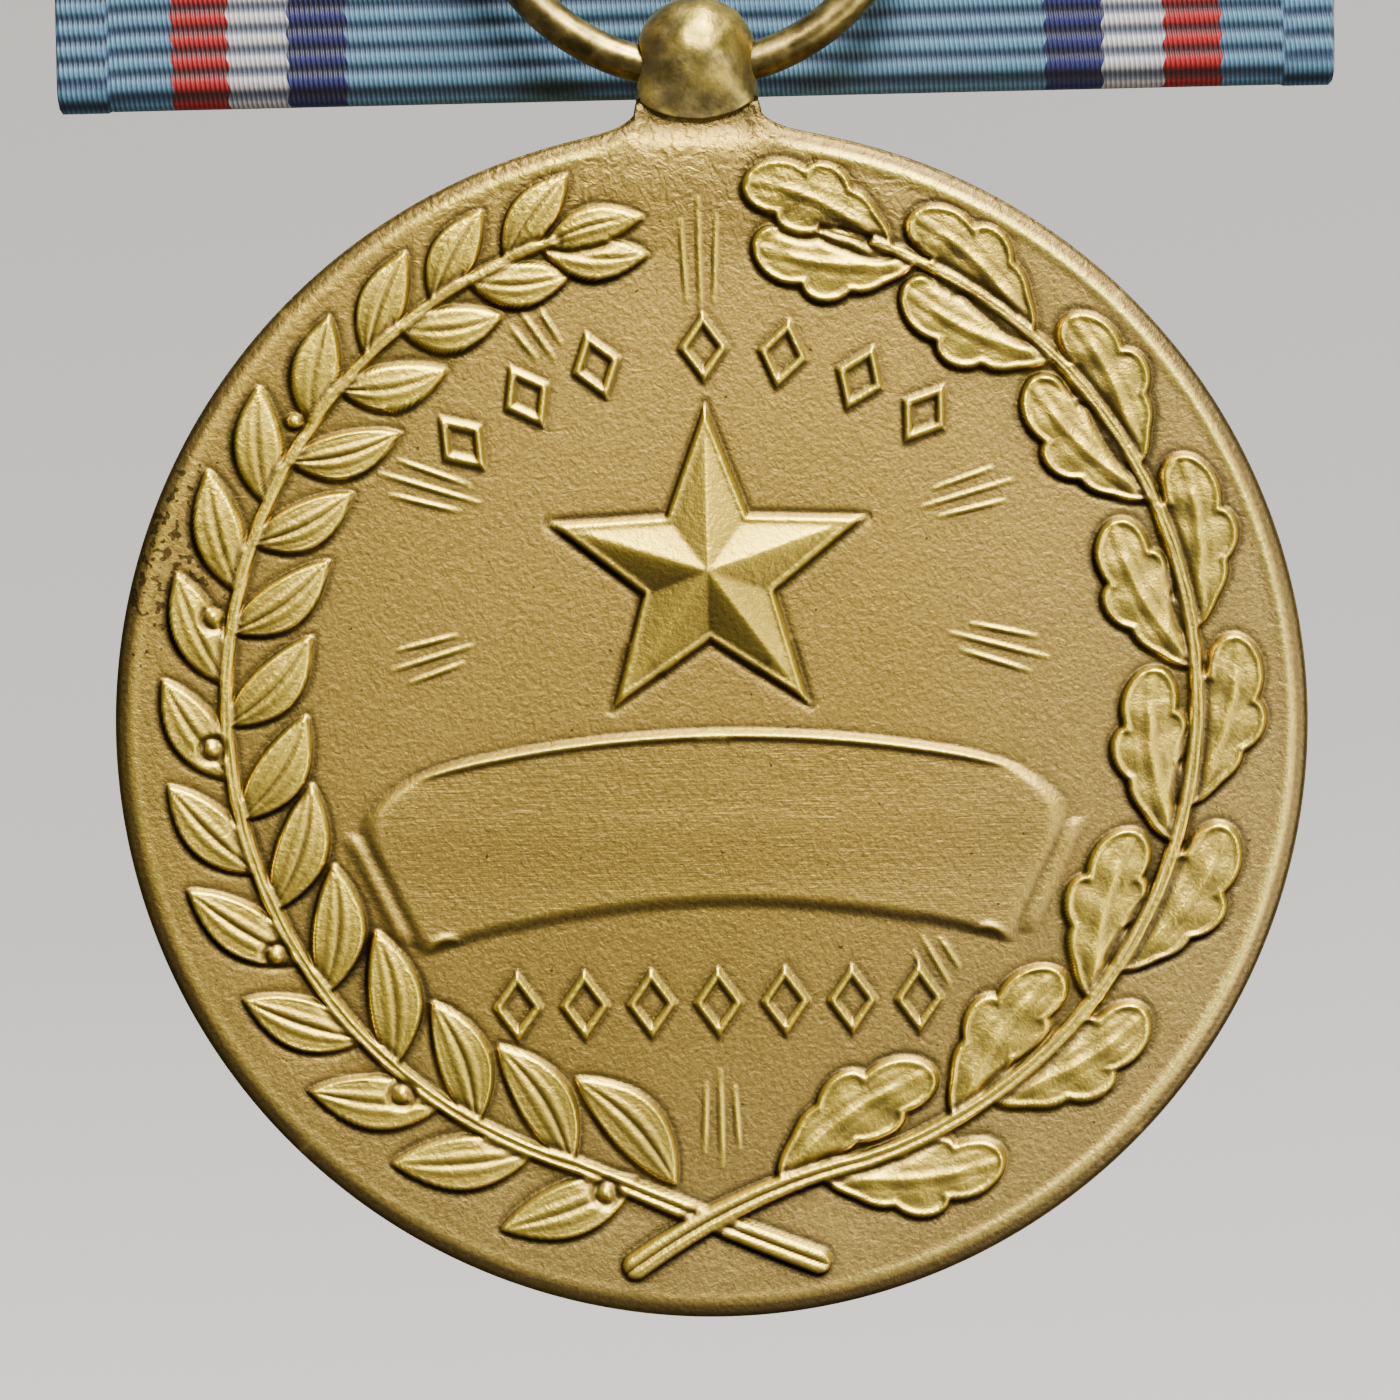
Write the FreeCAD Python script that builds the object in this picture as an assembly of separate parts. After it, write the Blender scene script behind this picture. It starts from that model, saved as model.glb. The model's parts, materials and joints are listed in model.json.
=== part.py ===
import FreeCAD, Part
import math
import os

# A hanging service medal, in millimetres. The origin is the middle of the brooch pin's axis.
# +Z is up, +X is to the right, and the struck reverse of the medallion and the brooch pin face -Y.
# Everything from the ring down hangs in the plane y = 0.

V = FreeCAD.Vector
X_AXIS, Y_AXIS, Z_AXIS = V(1, 0, 0), V(0, 1, 0), V(0, 0, 1)

# medallion
MEDAL_R = 15.875                # a 1 1/4 inch disc
RIM_HALF = 1.3                  # half the thickness at the rim's crest
FIELD_HALF = 1.02               # half the thickness at the field
EDGE_HALF = 0.9                 # half the height of the straight side
CREST_INNER_R, CREST_OUTER_R = 14.9, 15.35
FIELD_R = 14.2
NECK_HALF_X, NECK_HALF_Y = 1.62, 1.0
NECK_TOP = 16.5                 # above the medallion's centre
SUNK = 0.1                      # how far each raised detail is rooted in the planchet

# suspension lug, a bead with a cross bore for the ring and a slot for the neck
BORE_ABOVE_CENTRE = 17.59
LUG_R = 1.64
LUG_DOME_RISE = 0.2             # from the bore to the centre of the bead's round top
LUG_FOOT_R = 2.6                # of the underside, which is round from side to side
LUG_FOOT_Z = 16.0               # lowest point of the lug, above the medallion's centre
BORE_R = 0.75
SOLDER = 0.12

# suspension ring
WIRE_R = 0.52
RING_R = 5.84                   # to the middle of the wire
RING_SAG = 0.12                 # the curved wire lies this far below the bore's axis

# ribbon
RIBBON_W = 34.925               # 1 3/8 inch
RIBBON_T = 0.35
FOLD_R = 0.75                   # outside radius of the folds at the top and the bottom
RIBBON_Y = 2.7                  # middle of the two layers
DRAPE_BOTTOM = -31.0
HEAD_BOTTOM, DRAPE_TOP = -3.9, -4.7

# the narrow loop of ribbon that carries the ring
LOOP_Y = (1.1, 1.8)             # back and front of its two plies, where they are sewn
LOOP_TOP_W, LOOP_RING_ANGLE = 10.0, 25.0
LOOP_GAP = 0.12                 # between the loop and the wire
LOOP_LEG = 1.2
TAB_TOP, TAB_BOTTOM = -9.6, -13.2
LOOP_TOP = -13.9
STITCH_R, STITCH_L = 0.13, 1.1
STITCH_ROWS, STITCHES_IN_ROW = 3, 5

# brooch
PLATE_W, PLATE_H, PLATE_T = 35.6, 8.0, 0.6
PLATE_BACK_Y = 1.3
LIP_REACH, LIP_H, LIP_FRONT_Y = 1.9, 5.0, 4.1
CORE_HALF_H, CORE_T = 3.3, 0.7
PIN_R, PIN_TIP_R, PIN_POINT_R = 0.5, 0.32, 0.08
PIN_HALF_SPAN = 12.5            # the full-size stretch that the cloth sits on
HINGE_X, CATCH_X = 14.6, -14.6
EYE_R, EYE_HALF_Z, EYE_BORE_R = 0.8, 0.6, 0.36
RIVET_R, RIVET_HEAD_R, RIVET_HEAD_T = 0.3, 0.55, 0.25
EAR_IN, EAR_OUT = 0.75, 1.15
BRACKET_HALF_X, BRACKET_BASE_T = 1.6, 0.4
CATCH_IN_R, CATCH_OUT_R = 0.5, 0.95
SLEEVE_IN_R, SLEEVE_OUT_R = 1.0, 1.22
MOUTH_HALF = 0.42
LEVER_REACH, LEVER_T = 2.3, 0.5

# worked out from the above
BORE_Z = DRAPE_BOTTOM + 0.57
MEDAL_Z = BORE_Z - BORE_ABOVE_CENTRE
RING_Z = BORE_Z - RING_SAG + RING_R
BACK_LAYER_Y = (RIBBON_Y - FOLD_R, RIBBON_Y - FOLD_R + RIBBON_T)
FRONT_LAYER_Y = (RIBBON_Y + FOLD_R - RIBBON_T, RIBBON_Y + FOLD_R)

# relief of the reverse, in the face's own plane with its origin at the medallion's centre
STAR_AT, STAR_R, STAR_INNER, STAR_H, STAR_WALL = (0.0, 3.97), 4.5, 0.382, 0.5, 0.1
LEAF_H, STEM_H, TABLET_H, RAY_H, CHARM_H = 0.28, 0.26, 0.14, 0.08, 0.16
STEM_W = 0.5
BRANCH_R, BRANCH_CENTRE = 13.3, (-0.05, 0.75)  # of the right-hand branch; the left is its mirror
RELIEF_R = 15.1                                # the relief stops inside the rim's crest
BRANCH_FROM, BRANCH_TO = -97.0, 66.0           # degrees, from the butt's crossing to the tip
BUTT_END = (-2.4, -14.5)
LAUREL_PAIRS, LAUREL_L, LAUREL_W = 14, 3.5, 1.45
LAUREL_TILT = {"outer": 29.0, "inner": 38.0}
OAK_PAIRS, OAK_L, OAK_W = 8, 4.6, 1.9
OAK_TILT = {"outer": 8.0, "inner": 25.0}
RAY_ANGLES = (92, 126, 164, 197, 18, -15)
RAY_FROM, RAY_LENGTHS, RAY_SPREAD, RAY_W = 6.4, (1.5, 2.4, 1.5), 3.4, 0.14
CHARM_ARC_R, CHARM_ANGLES = 9.93, (130.5, 117.5, 105.5, 90.0, 78.0, 65.7, 53.5)
CHARM_ROW_Z, CHARM_ROW_STEP, CHARM_ROW_COUNT = -7.5, 1.78, 7
CHARM_SIZE, CHARM_STROKE = (0.68, 0.95), 0.24

# relief of the obverse
SHIELD_HALF_W, SHIELD_TOP, SHIELD_POINT = 4.2, 5.4, -6.2
BEAD_RING_R, BEAD_R, BEAD_COUNT = 13.3, 0.42, 60
SUN_RAYS, SUN_FROM, SUN_TO = 24, 7.4, 11.6


def prism(points, height):
    """A flat-topped solid on a closed outline of straight edges in the XY plane."""
    face = Part.Face(Part.makePolygon([V(x, y, -SUNK) for x, y in points + points[:1]]))
    return face.extrude(V(0, 0, height + SUNK))


def box(x, y, z):
    """A box from three (low, high) pairs."""
    return Part.makeBox(x[1] - x[0], y[1] - y[0], z[1] - z[0], V(x[0], y[0], z[0]))


def rod(r, start, along, length):
    return Part.makeCylinder(r, length, start, along)


def arc(a, through, b):
    return Part.Arc(a, through, b).toShape()


def line(a, b):
    return Part.LineSegment(a, b).toShape()


def at(shape, x, y, turn=0.0):
    """The shape turned about Z and moved to a place on the face."""
    placed = shape.copy()
    placed.rotate(V(0, 0, 0), Z_AXIS, turn)
    placed.translate(V(x, y, 0))
    return placed


def on_reverse(shape):
    """From the face's own plane, where height is +Z, to the side that faces -Y."""
    placed = shape.copy()
    placed.rotate(V(0, 0, 0), X_AXIS, 90)
    placed.translate(V(0, -FIELD_HALF, 0))
    return placed


def on_obverse(shape):
    placed = on_reverse(shape)
    placed.rotate(V(0, 0, 0), Z_AXIS, 180)
    return placed


def planchet():
    """The disc with its rim crest on both faces, revolved about Y, and the neck on its top edge."""
    half = [(0, FIELD_HALF), (FIELD_R, FIELD_HALF), (CREST_INNER_R, RIM_HALF), (CREST_OUTER_R, RIM_HALF)]
    upper = [V(r, y, 0) for r, y in half]
    lower = [V(r, -y, 0) for r, y in half]
    shoulder = V(MEDAL_R, EDGE_HALF, 0)
    foot = V(MEDAL_R, -EDGE_HALF, 0)
    bend_r = (MEDAL_R + CREST_OUTER_R) / 2 + 0.1
    bend_y = (EDGE_HALF + RIM_HALF) / 2 + 0.08
    edges = [line(a, b) for a, b in zip(upper, upper[1:])]
    edges.append(arc(upper[-1], V(bend_r, bend_y, 0), shoulder))
    edges.append(line(shoulder, foot))
    edges.append(arc(foot, V(bend_r, -bend_y, 0), lower[-1]))
    edges += [line(b, a) for a, b in reversed(list(zip(lower, lower[1:])))]
    edges.append(line(lower[0], upper[0]))
    disc = Part.Face(Part.Wire(edges)).revolve(V(0, 0, 0), Y_AXIS, 360)
    neck = box((-NECK_HALF_X, NECK_HALF_X), (-NECK_HALF_Y, NECK_HALF_Y), (MEDAL_R - 1.5, NECK_TOP))
    return disc.fuse(neck)


def star(r, height, wall):
    """A five-pointed star whose ten facets rise from a low wall to the middle."""
    ring = []
    for k in range(10):
        reach = r if k % 2 == 0 else r * STAR_INNER
        turn = math.radians(90 + 36 * k)
        ring.append(V(reach * math.cos(turn), reach * math.sin(turn), 0))
    low = [p + V(0, 0, -SUNK) for p in ring]
    high = [p + V(0, 0, wall) for p in ring]
    apex = V(0, 0, height)
    faces = [Part.Face(Part.makePolygon(low + low[:1]))]
    for k in range(10):
        n = (k + 1) % 10
        faces.append(Part.Face(Part.makePolygon([low[k], low[n], high[n], high[k], low[k]])))
        faces.append(Part.Face(Part.makePolygon([high[k], high[n], apex, high[k]])))
    solid = Part.makeSolid(Part.makeShell(faces))
    if solid.Volume < 0:
        solid.reverse()
    return solid


def laurel_leaf():
    """A pointed leaf between two arcs, from its base at the origin along +X."""
    tip, side = V(LAUREL_L, 0, -SUNK), LAUREL_W / 2
    upper = arc(V(0, 0, -SUNK), V(LAUREL_L * 0.5, side, -SUNK), tip)
    lower = arc(tip, V(LAUREL_L * 0.5, -side, -SUNK), V(0, 0, -SUNK))
    return Part.Face(Part.Wire([upper, lower])).extrude(V(0, 0, LEAF_H + SUNK))


def oak_leaf():
    """A leaf with three round lobes on each side and a round tip, from its base along +X."""
    stations = ((0.0, 0.0), (0.36, 0.5), (0.66, 0.8), (0.94, 0.55))
    side = [V(OAK_L * u, OAK_W / 2 * w, -SUNK) for u, w in stations]
    other = [V(p.x, -p.y, p.z) for p in side]
    edges = []
    for row, outward in ((side, 1), (other, -1)):
        for a, b in zip(row, row[1:]):
            chord = b - a
            bulge = V(-chord.y, chord.x, 0).normalize() * (0.22 * chord.Length * outward)
            edges.append(arc(a, (a + b) * 0.5 + bulge, b))
    edges.append(arc(side[-1], V(OAK_L * 1.06, 0, -SUNK), other[-1]))
    wire = Part.Wire(Part.__sortEdges__(edges))
    return Part.Face(wire).extrude(V(0, 0, LEAF_H + SUNK))


def branch_point(degrees):
    turn = math.radians(degrees)
    x, y = BRANCH_CENTRE
    return x + BRANCH_R * math.cos(turn), y + BRANCH_R * math.sin(turn)


def branch_stem():
    """The right-hand stem: an arc, and the straight butt that crosses the other branch."""
    outer = rod(BRANCH_R + STEM_W / 2, V(0, 0, -SUNK), Z_AXIS, STEM_H + SUNK)
    band = outer.cut(rod(BRANCH_R - STEM_W / 2, V(0, 0, -SUNK), Z_AXIS, STEM_H + SUNK))
    reach = 3 * BRANCH_R
    sweep = BRANCH_TO - BRANCH_FROM
    wedge = Part.makeCylinder(reach, STEM_H + 2 * SUNK, V(0, 0, -1.5 * SUNK), Z_AXIS, sweep)
    wedge.rotate(V(0, 0, 0), Z_AXIS, BRANCH_FROM)
    stem = at(band.common(wedge), *BRANCH_CENTRE)
    start = branch_point(BRANCH_FROM + 9)
    away = math.atan2(BUTT_END[1] - start[1], BUTT_END[0] - start[0])
    length = math.hypot(BUTT_END[0] - start[0], BUTT_END[1] - start[1])
    half = STEM_W / 2
    butt = prism([(0, -half), (length, -1.4 * half), (length, 1.4 * half), (0, half)], STEM_H)
    return stem.fuse(at(butt, start[0], start[1], math.degrees(away)))


def branch_leaves(leaf, pairs, tilt):
    """Leaves in pairs along the right-hand branch, growing from its butt to its tip."""
    found = []
    first, last = BRANCH_FROM + 14, BRANCH_TO - 8
    for k in range(pairs):
        place = first + (last - first) * k / (pairs - 1)
        x, y = branch_point(place)
        found.append(at(leaf, x, y, place + 90 - tilt["outer"]))
        found.append(at(leaf, x, y, place + 90 + tilt["inner"]))
    return found


def mirrored(shape):
    return shape.mirror(V(0, 0, 0), X_AXIS)


def tablet():
    """The blank scroll: long arcs above and below, round upper corners and slanting sides."""
    z = -SUNK
    left, right = V(-9.4, -2.5, z), V(9.4, -2.5, z)
    top_left, top_right = V(-8.2, -1.3, z), V(8.2, -1.3, z)
    low_left, low_right = V(-7.5, -6.4, z), V(7.5, -6.4, z)
    edges = [
        arc(left, V(-9.15, -1.65, z), top_left),
        arc(top_left, V(0, -0.3, z), top_right),
        arc(top_right, V(9.15, -1.65, z), right),
        line(right, low_right),
        arc(low_right, V(0, -4.8, z), low_left),
        line(low_left, left),
    ]
    return Part.Face(Part.Wire(edges)).extrude(V(0, 0, TABLET_H + SUNK))


def charm():
    """An open lozenge, the plain ornament that stands where a legend would be."""
    half_w, half_h = CHARM_SIZE
    outline = [(half_w, 0), (0, half_h), (-half_w, 0), (0, -half_h)]
    share = 1 - CHARM_STROKE / (half_w * half_h / math.hypot(half_w, half_h))
    inner = [(x * share, y * share) for x, y in outline]
    return prism(outline, CHARM_H).cut(prism(inner, CHARM_H))


def charms():
    found = []
    for degrees in CHARM_ANGLES:
        turn = math.radians(degrees)
        x, y = CHARM_ARC_R * math.cos(turn), CHARM_ARC_R * math.sin(turn)
        found.append(at(charm(), x, y, degrees - 90))
    for k in range(CHARM_ROW_COUNT):
        x = (k - (CHARM_ROW_COUNT - 1) / 2) * CHARM_ROW_STEP
        found.append(at(charm(), x, CHARM_ROW_Z))
    return found


def rays():
    """Groups of three fine rays that point at the star."""
    found = []
    for degrees in RAY_ANGLES:
        for k, length in enumerate(RAY_LENGTHS):
            turn = degrees + (k - 1) * RAY_SPREAD
            half = RAY_W / 2
            ray = prism([(0, -half), (length, -half), (length, half), (0, half)], RAY_H)
            x = STAR_AT[0] + RAY_FROM * math.cos(math.radians(turn))
            y = STAR_AT[1] + RAY_FROM * math.sin(math.radians(turn))
            found.append(at(ray, x, y, turn))
    return found


def shield():
    """A plain heater shield with a chevron, for the face away from the tablet."""
    z = -SUNK
    top_left, top_right = V(-SHIELD_HALF_W, SHIELD_TOP, z), V(SHIELD_HALF_W, SHIELD_TOP, z)
    waist_l, waist_r, point = V(-SHIELD_HALF_W, 0, z), V(SHIELD_HALF_W, 0, z), V(0, SHIELD_POINT, z)
    edges = [
        line(top_left, top_right),
        line(top_right, waist_r),
        arc(waist_r, V(SHIELD_HALF_W * 0.72, SHIELD_POINT * 0.6, z), point),
        arc(point, V(-SHIELD_HALF_W * 0.72, SHIELD_POINT * 0.6, z), waist_l),
        line(waist_l, top_left),
    ]
    body = Part.Face(Part.Wire(edges)).extrude(V(0, 0, 0.24 + SUNK))
    chevron = prism([(-3.2, -2.2), (0, 0.6), (3.2, -2.2), (3.2, -0.7), (0, 2.1), (-3.2, -0.7)], 0.4)
    return [body, chevron, at(star(1.3, 0.5, 0.3), 0, 3.6)]


def obverse_border():
    beads, sun = [], []
    for k in range(BEAD_COUNT):
        turn = math.radians(360 * k / BEAD_COUNT)
        x, y = BEAD_RING_R * math.cos(turn), BEAD_RING_R * math.sin(turn)
        beads.append(at(rod(BEAD_R, V(0, 0, -SUNK), Z_AXIS, 0.2 + SUNK), x, y))
    for k in range(SUN_RAYS):
        degrees = 360 * k / SUN_RAYS
        ray = prism([(SUN_FROM, -0.3), (SUN_TO, -0.08), (SUN_TO, 0.08), (SUN_FROM, 0.3)], 0.12)
        sun.append(at(ray, 0, 0, degrees))
    return beads + sun


def medallion():
    reverse = [at(star(STAR_R, STAR_H, STAR_WALL), *STAR_AT), tablet()]
    oak_stem = branch_stem()
    reverse += [oak_stem, mirrored(oak_stem)]
    reverse += branch_leaves(oak_leaf(), OAK_PAIRS, OAK_TILT)
    reverse += [mirrored(s) for s in branch_leaves(laurel_leaf(), LAUREL_PAIRS, LAUREL_TILT)]
    reverse += charms() + rays()
    inside = rod(RELIEF_R, V(0, 0, -1), Z_AXIS, 3)
    raised = [on_reverse(s.common(inside)) for s in reverse]
    raised += [on_obverse(s) for s in shield() + obverse_border()]
    whole = planchet().multiFuse(raised).removeSplitter()
    whole.translate(V(0, 0, MEDAL_Z))
    return whole


def suspension_lug():
    """A bead on a short barrel, bored across for the ring and slotted below for the neck."""
    dome_z = BORE_Z + LUG_DOME_RISE
    foot_z = MEDAL_Z + LUG_FOOT_Z
    barrel = rod(LUG_R, V(0, 0, foot_z), Z_AXIS, dome_z - foot_z)
    foot = rod(LUG_FOOT_R, V(0, -2 * LUG_R, foot_z + LUG_FOOT_R), Y_AXIS, 4 * LUG_R)
    body = barrel.common(foot).fuse(Part.makeSphere(LUG_R, V(0, 0, dome_z)))
    bore = rod(BORE_R, V(-2 * LUG_R, 0, BORE_Z), X_AXIS, 4 * LUG_R)
    slot_top = MEDAL_Z + NECK_TOP + SOLDER
    slot = box((-2 * LUG_R, 2 * LUG_R), (-NECK_HALF_Y, NECK_HALF_Y), (foot_z - 1, slot_top))
    return body.cut(bore).cut(slot).removeSplitter()


def lug_solder():
    """The brazed joint between the top of the neck and the roof of the slot."""
    low = MEDAL_Z + NECK_TOP
    inset = 0.25
    half_x, half_y = NECK_HALF_X - inset, NECK_HALF_Y - inset
    return box((-half_x, half_x), (-half_y, half_y), (low, low + SOLDER))


def suspension_ring():
    return Part.makeTorus(RING_R, WIRE_R, V(0, 0, RING_Z), Y_AXIS)


def u_band(bottom_z, top_z, fold_up, half_w):
    """Two layers of ribbon joined by a round fold, at the top if fold_up and else at the bottom."""
    sign = 1 if fold_up else -1
    fold_z = top_z - FOLD_R if fold_up else bottom_z + FOLD_R
    open_z = bottom_z if fold_up else top_z
    inner = FOLD_R - RIBBON_T
    y0 = RIBBON_Y
    outer_pts = [V(-half_w, y0 - FOLD_R, open_z), V(-half_w, y0 - FOLD_R, fold_z)]
    outer_pts += [V(-half_w, y0 + FOLD_R, fold_z), V(-half_w, y0 + FOLD_R, open_z)]
    inner_pts = [V(-half_w, y0 + inner, open_z), V(-half_w, y0 + inner, fold_z)]
    inner_pts += [V(-half_w, y0 - inner, fold_z), V(-half_w, y0 - inner, open_z)]
    edges = [
        line(outer_pts[0], outer_pts[1]),
        arc(outer_pts[1], V(-half_w, y0, fold_z + sign * FOLD_R), outer_pts[2]),
        line(outer_pts[2], outer_pts[3]),
        line(outer_pts[3], inner_pts[0]),
        line(inner_pts[0], inner_pts[1]),
        arc(inner_pts[1], V(-half_w, y0, fold_z + sign * inner), inner_pts[2]),
        line(inner_pts[2], inner_pts[3]),
        line(inner_pts[3], outer_pts[0]),
    ]
    return Part.Face(Part.Wire(edges)).extrude(V(2 * half_w, 0, 0))


def ribbon_head():
    return u_band(HEAD_BOTTOM, CORE_HALF_H + FOLD_R, True, RIBBON_W / 2)


def ribbon_drape():
    return u_band(DRAPE_BOTTOM, DRAPE_TOP, False, RIBBON_W / 2)


def loop_tab():
    """The sewn end of the loop, two plies flat on the back of the drape."""
    half = LOOP_TOP_W / 2
    return box((-half, half), (LOOP_Y[0], BACK_LAYER_Y[0]), (TAB_BOTTOM, TAB_TOP))


def loop_stitches():
    """Short thread stitches in rows across the tab."""
    found = []
    pitch_x = LOOP_TOP_W / STITCHES_IN_ROW
    pitch_z = (TAB_TOP - TAB_BOTTOM) / STITCH_ROWS
    for row in range(STITCH_ROWS):
        z = TAB_BOTTOM + pitch_z * (row + 0.5)
        for k in range(STITCHES_IN_ROW):
            x = -LOOP_TOP_W / 2 + pitch_x * (k + 0.5)
            start = V(x - STITCH_L / 2, LOOP_Y[0] - STITCH_R, z)
            found.append(rod(STITCH_R, start, X_AXIS, STITCH_L))
    return Part.makeCompound(found)


def ribbon_loop():
    """Ribbon that passes under the top of the ring and rises as two plies to the tab."""
    inner = WIRE_R + LOOP_GAP
    outer = inner + RIBBON_T
    top = RING_R + LOOP_LEG
    edges = [
        line(V(0, -outer, top), V(0, -outer, RING_R)),
        arc(V(0, -outer, RING_R), V(0, 0, RING_R - outer), V(0, outer, RING_R)),
        line(V(0, outer, RING_R), V(0, outer, top)),
        line(V(0, outer, top), V(0, inner, top)),
        line(V(0, inner, top), V(0, inner, RING_R)),
        arc(V(0, inner, RING_R), V(0, 0, RING_R - inner), V(0, -inner, RING_R)),
        line(V(0, -inner, RING_R), V(0, -inner, top)),
        line(V(0, -inner, top), V(0, -outer, top)),
    ]
    section = Part.Face(Part.Wire(edges))
    section.rotate(V(0, 0, 0), Y_AXIS, -LOOP_RING_ANGLE)
    saddle = section.revolve(V(0, 0, 0), Y_AXIS, 2 * LOOP_RING_ANGLE)
    saddle.translate(V(0, 0, RING_Z))

    low, middle = RING_Z + RING_R + 0.26, sum(LOOP_Y) / 2
    wide = LOOP_TOP_W
    plies = []
    for foot, head in (((inner, outer), (middle, LOOP_Y[1])), ((-outer, -inner), (LOOP_Y[0], middle))):
        outline = [V(-wide, foot[0], low), V(-wide, foot[1], low)]
        outline += [V(-wide, head[1], LOOP_TOP), V(-wide, head[0], LOOP_TOP)]
        plies.append(Part.Face(Part.makePolygon(outline + outline[:1])).extrude(V(2 * wide, 0, 0)))
    cap = box((-wide, wide), LOOP_Y, (LOOP_TOP - 0.5, LOOP_TOP))
    foot_half = (RING_R + LOOP_LEG) * math.sin(math.radians(LOOP_RING_ANGLE))
    taper = [V(-foot_half, -5, low), V(foot_half, -5, low)]
    taper += [V(wide / 2, -5, LOOP_TOP), V(-wide / 2, -5, LOOP_TOP)]
    limits = Part.Face(Part.makePolygon(taper + taper[:1])).extrude(V(0, 10, 0))
    legs = plies[0].fuse([plies[1], cap]).common(limits)
    return saddle.fuse(legs).removeSplitter()


def back_plate():
    """The plate behind the ribbon, with its two ends turned over the ribbon's edges."""
    half, plate_y = PLATE_W / 2, (PLATE_BACK_Y, PLATE_BACK_Y + PLATE_T)
    plate = box((-half, half), plate_y, (-PLATE_H / 2, PLATE_H / 2))
    corners = [e for e in plate.Edges if abs(e.tangentAt(e.FirstParameter).y) > 0.9]
    plate = plate.makeFillet(1.0, corners)
    lips = []
    for side in (-1, 1):
        x = sorted((side * half, side * (half + PLATE_T)))
        reach = sorted((side * (half + PLATE_T - LIP_REACH), side * (half + PLATE_T)))
        wall = box(x, (plate_y[0], LIP_FRONT_Y), (-LIP_H / 2, LIP_H / 2))
        flap = box(reach, (LIP_FRONT_Y - PLATE_T, LIP_FRONT_Y), (-LIP_H / 2, LIP_H / 2))
        flap_corners = [
            e for e in flap.Edges
            if abs(e.tangentAt(e.FirstParameter).y) > 0.9 and abs(e.CenterOfMass.x) < half
        ]
        lips += [wall, flap.makeFillet(0.7, flap_corners)]
    whole = plate.multiFuse(lips).removeSplitter()
    bends = [
        e for e in whole.Edges
        if abs(e.CenterOfMass.x) > half + PLATE_T - 0.01 and abs(e.tangentAt(e.FirstParameter).z) > 0.9
    ]
    return whole.makeFillet(0.4, bends)


def core_bar():
    """The inner bar that the head of the ribbon wraps over."""
    half = RIBBON_W / 2 - 0.1
    y = (RIBBON_Y - CORE_T / 2, RIBBON_Y + CORE_T / 2)
    bar = box((-half, half), y, (-CORE_HALF_H, CORE_HALF_H))
    long_edges = [e for e in bar.Edges if abs(e.tangentAt(e.FirstParameter).x) > 0.9]
    return bar.makeFillet(CORE_T * 0.45, long_edges)


def hinge_bracket():
    """Two ears on a foot that is brazed to the plate."""
    x = (HINGE_X - BRACKET_HALF_X, HINGE_X + BRACKET_HALF_X)
    foot = box(x, (PLATE_BACK_Y - BRACKET_BASE_T, PLATE_BACK_Y), (-EAR_OUT - 0.5, EAR_OUT + 0.5))
    ears = []
    for side in (-1, 1):
        z = sorted((side * EAR_IN, side * EAR_OUT))
        web = box((HINGE_X - 0.9, HINGE_X + 0.9), (0, PLATE_BACK_Y - 0.1), z)
        round_end = rod(0.9, V(HINGE_X, 0, z[0]), Z_AXIS, z[1] - z[0])
        ears += [web, round_end]
    hole = rod(RIVET_R + 0.02, V(HINGE_X, 0, -3), Z_AXIS, 6)
    return foot.multiFuse(ears).cut(hole).removeSplitter()


def hinge_rivet():
    shank = rod(RIVET_R, V(HINGE_X, 0, -EAR_OUT), Z_AXIS, 2 * EAR_OUT)
    heads = []
    for side in (-1, 1):
        z = sorted((side * EAR_OUT, side * (EAR_OUT + RIVET_HEAD_T)))
        head = rod(RIVET_HEAD_R, V(HINGE_X, 0, z[0]), Z_AXIS, z[1] - z[0])
        outer = [e for e in head.Edges if abs(e.CenterOfMass.z - side * (EAR_OUT + RIVET_HEAD_T)) < 1e-6]
        heads.append(head.makeFillet(0.15, outer))
    return shank.multiFuse(heads).removeSplitter()


def brooch_pin():
    """The pin: an eye on the rivet, a full-size shank, a thinner end for the catch and a point."""
    eye = rod(EYE_R, V(HINGE_X, 0, -EYE_HALF_Z), Z_AXIS, 2 * EYE_HALF_Z)
    neck = rod(PIN_TIP_R, V(PIN_HALF_SPAN, 0, 0), X_AXIS, HINGE_X - PIN_HALF_SPAN - 0.4)
    shank = rod(PIN_R, V(-PIN_HALF_SPAN, 0, 0), X_AXIS, 2 * PIN_HALF_SPAN)
    end_length = -CATCH_X - PIN_HALF_SPAN + 0.6
    end = rod(PIN_TIP_R, V(-PIN_HALF_SPAN, 0, 0), -X_AXIS, end_length)
    point_x = -PIN_HALF_SPAN - end_length
    point = Part.makeCone(PIN_TIP_R, PIN_POINT_R, 1.3, V(point_x, 0, 0), -X_AXIS)
    bore = rod(EYE_BORE_R, V(HINGE_X, 0, -2), Z_AXIS, 4)
    return shank.multiFuse([eye, neck, end, point]).cut(bore).removeSplitter()


def mouth(x_from, x_to):
    """The gap on the -Y side that lets the pin in and out."""
    return box((x_from, x_to), (-3, 0), (-MOUTH_HALF, MOUTH_HALF))


def catch_post():
    """The C-shaped catch: a tube with a mouth, carried by a post on the plate at one end."""
    x0, x1, x2 = CATCH_X - 1.4, CATCH_X - 0.3, CATCH_X + 1.3
    tube = rod(CATCH_OUT_R, V(x0, 0, 0), X_AXIS, x2 - x0)
    post = box((x0, x1), (0, PLATE_BACK_Y - 0.1), (-CATCH_OUT_R, CATCH_OUT_R))
    foot = box((x0, x1), (PLATE_BACK_Y - 0.25, PLATE_BACK_Y), (-1.6, 1.6))
    hollow = rod(CATCH_IN_R, V(x0 - 1, 0, 0), X_AXIS, x2 - x0 + 2)
    return tube.multiFuse([post, foot]).cut(hollow).cut(mouth(x0 - 1, x2 + 1)).removeSplitter()


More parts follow.
